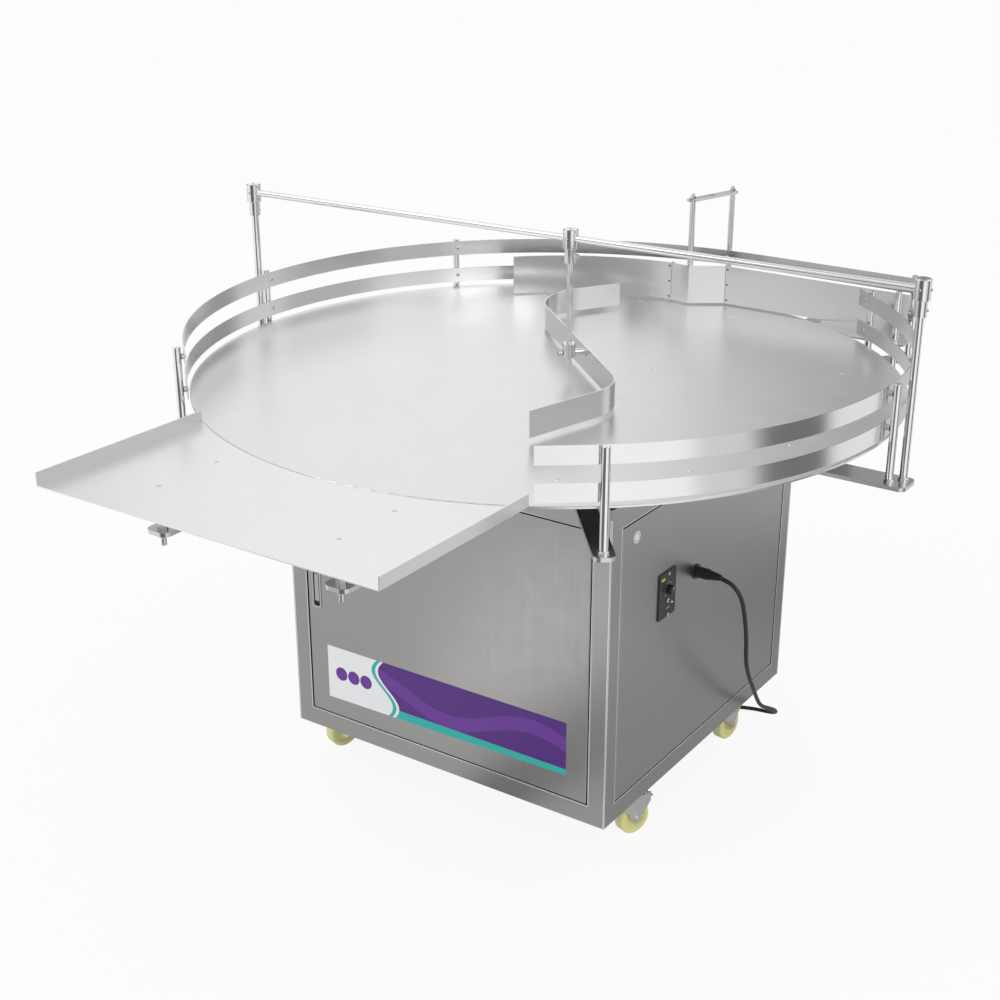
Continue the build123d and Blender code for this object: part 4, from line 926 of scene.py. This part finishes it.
@dataclass
class StileSticker:
    """The small round sticker on the front right stile."""

    centre: Point = (0.398, -0.303, 0.709)
    radius: float = 0.0125

    def build(self, finishes: Finishes) -> None:
        """Make the sticker."""
        material = finishes.extra(RoundSticker("sticker_film", self.centre, self.radius))
        turned_piece(("round_sticker", "chassis", "brushed_panel"), material,
                     [(Vector(self.centre), OUT)],
                     [(0.0, self.radius), (0.0003, self.radius - 0.0002)], 40)


@dataclass
class ControllerFace:
    """Marks, screws and lamp on the speed controller's front."""

    face: float = FACE + 0.003
    knob: tuple[float, float] = (-0.173, 0.550)

    def spot(self, mould: Mould, place: tuple[float, float], radius: float, height: float,
             steps: int = 20) -> None:
        """Add a small round boss on the face."""
        start = Vector((self.face, *place))
        mould.turned(start, OUT, [(0.0, radius), (height * 0.7, radius), (height, radius * 0.8)],
                     steps)

    def bar(self, mould: Mould, centre: Vector, along: Vector, size: tuple[float, float]) -> None:
        """Add a thin printed bar on the face."""
        side = OUT.cross(along)
        half = along * size[0] / 2
        edge = side * size[1] / 2
        outline = [centre - half - edge, centre + half - edge, centre + half + edge,
                   centre - half + edge]
        mould.plate(outline, Vector((0.0002, 0, 0)))

    def build(self, finishes: Finishes) -> None:
        """Make the face's details."""
        white = finishes.extra(Moulded("white_print", (0.72, 0.72, 0.70), 0.5))
        yellow = finishes.extra(Moulded("yellow_print", (0.78, 0.52, 0.05), 0.5))
        marks = Mould("speed_marks")
        for index in range(11):
            angle = math.radians(225 - index * 27)
            way = Vector((0, math.cos(angle), math.sin(angle)))
            centre = Vector((self.face, *self.knob)) + way * 0.0155
            self.bar(marks, centre, way, (0.0038, 0.0009))
        for place, width in (((-0.173, 0.5205), 0.006), ((-0.173, 0.509), 0.012)):
            self.bar(marks, Vector((self.face, *place)), Vector((0, 1, 0)), (width, 0.001))
        marks.piece("chassis", white)
        flag = Mould("yellow_mark")
        self.bar(flag, Vector((self.face, -0.196, 0.578)), Vector((0, 1, 0)), (0.014, 0.005))
        flag.piece("chassis", yellow)
        screws = Mould("controller_screws")
        for place in ((-0.173, 0.584), (-0.173, 0.494)):
            self.spot(screws, place, 0.0038, 0.0016)
        self.spot(screws, (-0.174, 0.525), 0.0052, 0.0012, 6)
        screws.piece("chassis", finishes.made["fixing_steel"])
        lamp = Mould("run_lamp")
        self.spot(lamp, (-0.175, 0.5165), 0.0022, 0.0020)
        lamp.piece("chassis",
                   finishes.extra(Moulded("lamp_lens", (0.25, 0.02, 0.015), 0.2, 300.0, 0.05, 0.1, 0.6)))
        line = Mould("knob_line")
        centre = Vector((FACE + 0.015, self.knob[0], self.knob[1] + 0.0045))
        self.bar(line, centre, UP, (0.0075, 0.0012))
        line.piece("knob", white)


@dataclass
class StudMarks:
    """Faint rings on the tray over its four welded studs."""

    places: Sequence[tuple[float, float]] = (
        (-0.203, -0.935), (0.203, -0.935), (-0.203, -0.792), (0.203, -0.792))
    tray_top: float = 0.884

    def build(self, finishes: Finishes) -> None:
        """Make the ring marks."""
        material = finishes.extra(TurnedSteel("weld_mark", (0.66, 0.65, 0.63), 0.36))
        spots = [(Vector((*place, self.tray_top)), UP) for place in self.places]
        turned_piece(("stud_weld_marks", "chassis", "tray_steel"), material, spots,
                     [(0.0, 0.0048), (0.00012, 0.0046)], 28)


@dataclass(frozen=True)
class RailLine:
    """The guard rails' middle line, with the places where posts carry it."""

    radius: float = 0.756
    offset: float = 0.014
    gate_offset: float = 0.013
    angles: Sequence[float] = (-50.0, 0.6, 141.0, 182.2, 230.0)
    tail: tuple[float, float] = (49.0, 0.05)
    rear: tuple[float, float] = (0.493, 0.792)
    easing: tuple[float, float] = (130.0, 95.5)
    outlet_post: tuple[float, float] = (0.517, 0.646)

    def screws(self) -> list[tuple[Vector, float]]:
        """Return each screw's place on the line and the way outwards, the gate's last."""
        found = [(polar(self.radius, angle), angle) for angle in self.angles]
        turn, run = self.tail
        found.append((polar(self.radius, turn) + run * polar(1, turn + 90), turn))
        found.append((Vector((*self.rear, 0)), 90.0))
        start, gate = self.easing
        lift = math.sin(math.radians(start))
        bend = (self.rear[1] - self.radius * lift) / (1 - lift)
        found.append((polar(self.radius - bend, start) + polar(bend, gate), gate))
        return found

    def posts(self) -> list[Vector]:
        """Return the foot of every post."""
        screws = self.screws()
        feet = [place + self.offset * polar(1, angle) for place, angle in screws[:-1]]
        place, angle = screws[-1]
        feet.append(place + self.gate_offset * polar(1, angle))
        feet.append(Vector((*self.outlet_post, 0)))
        return feet + [Vector((side * TALL_POST[0], side * TALL_POST[1], 0)) for side in (1, -1)]


@dataclass
class RailFixings:
    """Button screws through the guard bands, and foot rings and bolts of the posts on their arms."""

    line: RailLine = RailLine()
    levels: tuple[float, float] = (0.9125, 0.9805)
    half_band: float = 0.001
    arm_top: float = 0.805
    arm_low: float = 0.797

    def build(self, finishes: Finishes) -> None:
        """Make the button heads with a black hexagon on each as the painted shade of its socket, then
        the rings, washers and bolt heads.
        """
        spots = []
        for place, angle in self.line.screws():
            inward = -polar(1, angle)
            spots += [(place + level * UP + self.half_band * inward, inward) for level in self.levels]
        for name, steel, profile, steps in (
                ("heads", "fixing_steel",
                 [(0.0, 0.0046), (0.0007, 0.0046), (0.0016, 0.0038), (0.0022, 0.0024)], 20),
                # Painted shade: a black hexagon on each head stands for its socket's dark recess.
                ("sockets", "black_plastic", [(0.002, 0.0017), (0.0024, 0.0017)], 6)):
            turned_piece((f"rail_screw_{name}", "chassis", "fixing_zinc"), finishes.made[steel],
                         spots, profile, steps)
        turned_piece(("post_foot_rings", "chassis", "post_chrome"), finishes.made["clamp_steel"],
                     [(foot + self.arm_top * UP, UP) for foot in self.line.posts()],
                     [(0.0, 0.0105), (0.0034, 0.0105), (0.0042, 0.0097), (0.0052, 0.0083)], 32)
        bolts = Mould("post_foot_bolts")
        for foot in self.line.posts():
            under = foot + self.arm_low * UP
            bolts.turned(under, -UP, [(0.0, 0.0108), (0.0016, 0.0108)], 28)
            bolts.turned(under, -UP, [(0.0016, 0.0072), (0.0060, 0.0072), (0.0066, 0.0062)], 6)
        bolts.piece("chassis", finishes.made["fixing_steel"], 25.0)


@dataclass
class ClampDetails:
    """Set screws and the thin shoulder rings of the cross bar's clamps."""

    head_low: float = 1.160
    head_high: float = 1.200
    head_radius: float = 0.016
    sleeve_radius: float = 0.012

    def build(self, finishes: Finishes) -> None:
        """Make the details of the two end clamps and of the sliding clamp."""
        along = Vector((*TALL_POST, 0)).normalized()
        across = along.cross(UP)
        inner, outer = self.sleeve_radius + 0.0002, self.head_radius - 0.0002
        ring = [(0.0, inner), (0.0, inner + 0.0004), (0.0004, outer - 0.0008), (0.0016, outer),
                (0.0016, inner)]
        for (name, body), (x, y) in zip(
                (("right", "chassis"), ("left", "chassis"), ("middle", "slider")), clamp_places()):
            foot = Vector((x, y, 0))
            ways = [across]
            if body == "chassis":
                ways.append(along if x > 0 else -along)
            head = foot + (self.head_low + self.head_high) / 2 * UP
            spots = [(head + (self.head_radius - 0.001) * way, way) for way in ways]
            if body == "chassis":
                sleeve = foot + (self.head_low - 0.019) * UP
                spots += [(sleeve + (self.sleeve_radius - 0.001) * way, way)
                          for way in (along, -along)]
            turned_piece((f"clamp_screws_{name}", body, "fixing_zinc"),
                         finishes.made["fixing_steel"], spots,
                         [(0.0, 0.0026), (0.0036, 0.0026), (0.0042, 0.0020)], 16)
            turned_piece((f"clamp_ring_{name}", body, "post_chrome"), finishes.made["clamp_steel"],
                         [(foot + (self.head_low - 0.0016) * UP, UP)], ring, 40, True)


@dataclass
class FrameEdges:
    """Softened edges of the frame, round its openings and down its corners, in a lighter steel than the
    frame's as a painted highlight.
    """

    face: float = FACE
    opening: float = 0.358
    low: float = 0.147
    high: float = 0.746
    bead: Sequence[tuple[float, float]] = (
        (0.0, 0.0), (0.0004, 0.0004), (0.0014, 0.0006), (0.0024, 0.0004), (0.0028, 0.0))
    corner: Sequence[tuple[float, float]] = (
        (0.0, -0.0034), (0.0004, -0.0030), (0.0005, -0.0004), (-0.0004, 0.0005),
        (-0.0030, 0.0004), (-0.0034, 0.0), (0.0, 0.0))

    def build(self, finishes: Finishes) -> None:
        """Make the beads and the corner strips."""
        beads = Mould("opening_edges")
        strips = Mould("corner_edges")
        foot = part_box("cabinet_frame")[0].z
        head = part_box("cabinet_top_plate")[0].z
        for turn in range(4):
            outward = polar(1, 90 * turn)
            side = polar(1, 90 * turn + 90)
            beads.loft([self.ring(outward, side, left, upper) for left, upper in
                        ((False, False), (False, True), (True, True), (True, False))], True)
            outline = [outward * (self.face + x) + side * (self.face + y) for x, y in self.corner]
            strips.plate([point + foot * UP for point in outline], (head - foot) * UP)
        # Painted highlight: the edges wear a lighter steel than the frame, as if they caught the light.
        steel = finishes.extra(BrushedSteel("edge_highlight_steel", (0.66, 0.66, 0.66), 0.22, Grain.ALONG_Z))
        beads.piece("chassis", steel, 60.0)
        strips.piece("chassis", steel, 60.0)

    def ring(self, outward: Vector, side: Vector, left: bool, upper: bool) -> list[Vector]:
        """Return the bead's section at one corner of an opening."""
        way = -1 if left else 1
        points = []
        for along, proud in self.bead:
            height = self.high + along if upper else self.low - along
            points.append(outward * (self.face + proud) + side * way * (self.opening + along)
                          + height * UP)
        return points


@dataclass
class GateMarks:
    """Dark screws beside the gate's two hinges."""

    levels: Sequence[float] = (0.897, 0.935, 0.973)
    hinge: tuple[float, float] = (-0.072, 0.658)
    end: tuple[float, float] = (-0.421, 0.482)
    bend: float = 0.522
    wall: tuple[float, float] = (0.0575, 0.702)
    inset: float = 0.006

    def curve(self) -> tuple[Vector, Vector]:
        """Return a place on the curved plate's face beside its hinge, and the way out of it."""
        hinge, end = Vector((*self.hinge, 0)), Vector((*self.end, 0))
        half = (end - hinge) / 2
        reach = math.sqrt(self.bend ** 2 - half.length_squared)
        centre = hinge + half + reach * Vector((-half.y, half.x, 0)).normalized()
        spoke = (hinge - centre).normalized()
        turned = spoke + Vector((-spoke.y, spoke.x, 0)) * (self.inset / self.bend)
        way = -turned.normalized()
        return centre - (self.bend - 0.001) * way, way

    def build(self, finishes: Finishes) -> None:
        """Make the screws on the curved plate and on the wall."""
        dark = finishes.extra(Moulded("gate_screw_black", (0.03, 0.03, 0.03), 0.45))
        wall = (Vector((*self.wall, 0)), Vector((0, -1, 0)))
        for name, body, (place, way) in (("curve", "gate_curve", self.curve()),
                                         ("wall", "chassis", wall)):
            turned_piece((f"gate_screws_{name}", body, "post_chrome"), dark,
                         [(place + level * UP - 0.0002 * way, way) for level in self.levels],
                         [(0.0, 0.0026), (0.0007, 0.0023), (0.0011, 0.0012)], 16)


@dataclass
class Studio:
    """Pale floor, soft lamps and panels, and a plain white surround."""

    lamps: Sequence[tuple[str, Point, Point, float, float]] = (
        ("key", (-2.4, -3.0, 3.6), (0, 0, 0.7), 2.6, 26.0),
        ("fill", (3.4, -1.2, 2.8), (0, 0, 0.7), 2.2, 14.0),
    )
    around: Sequence[SoftPanel] = soft_panels(
        (-158, 14, 26, 0.75), (-102, 5, 12, 0.85), (-80, 3, 7, 1.2), (-38, 16, 22, 1.3),
        (-13, 4, 9, 0.37), (4, 6, 16, 1.3), (26, 10, 24, 0.72), (58, 9, 17, 1.1),
        (84, 6, 14, 0.37), (132, 8, 20, 1.1), (150, 4, 14, 0.75))
    # Panels painted on the floor's glow for mirrors: near the table the dark ones are a painted shadow
    # of it and a bright one a painted highlight; farther out they paint light and shade.
    floor_painted_panels: Sequence[SoftPanel] = soft_panels(
        (-102, 5, 13, 1.6, 0.9, 2.1), (-84, 5, 11, 0.3, 0.0, 2.1), (60, 14, 34, 0.35, 0.0, 1.7),
        (20, 40, 60, 0.5, 0.0, 1.0), (-145, 26, 32, 1.15, 2.1), (-84, 24, 30, 0.08, 2.1),
        (-36, 14, 20, 1.2, 2.1), (14, 9, 18, 0.12, 2.1), (38, 8, 16, 1.0, 2.1),
        (75, 15, 25, 0.62, 2.1))
    light: float = 0.84
    between: float = 0.38
    ceiling: float = 1.15
    reach: float = 60.0

    def build(self) -> None:
        """Make the floor, the lamps and the world."""
        far = self.reach
        data = bpy.data.meshes.new("studio_floor")
        data.from_pydata([(-far, -far, 0), (far, -far, 0), (far, far, 0), (-far, far, 0)], [],
                         [(0, 1, 2, 3)])
        data.materials.append(StudioFloor(self.floor_painted_panels).make())
        placed("studio_floor", data)
        for name, place, aim, size, power in self.lamps:
            data = bpy.data.lights.new(name, "AREA")
            data.shape = "SQUARE"
            data.size = size
            data.energy = power
            lamp = placed(name, data)
            lamp.location = place
            lamp.rotation_mode = "QUATERNION"
            way = Vector(aim) - Vector(place)
            lamp.rotation_quaternion = way.to_track_quat("-Z", "Y")
        world = bpy.data.worlds.new("studio")
        bpy.context.scene.world = world
        Surround(world).make(self.light, self.between, self.ceiling, self.around)
        bpy.context.scene.view_settings.view_transform = "Standard"


def main() -> None:
    """Dress the table and set up its studio."""
    logging.basicConfig(level=logging.INFO, format="%(message)s")
    finishes = Finishes()
    Camera().build()
    finishes.apply()
    MainsCord().build(finishes)
    for detail in (DiscScrews(), DoorFilm(), StileSticker(), ControllerFace(), StudMarks(),
                   RailFixings(), ClampDetails(), FrameEdges(), GateMarks()):
        detail.build(finishes)
    Studio().build()
    bpy.context.view_layer.update()


if __name__ == "__main__":
    main()
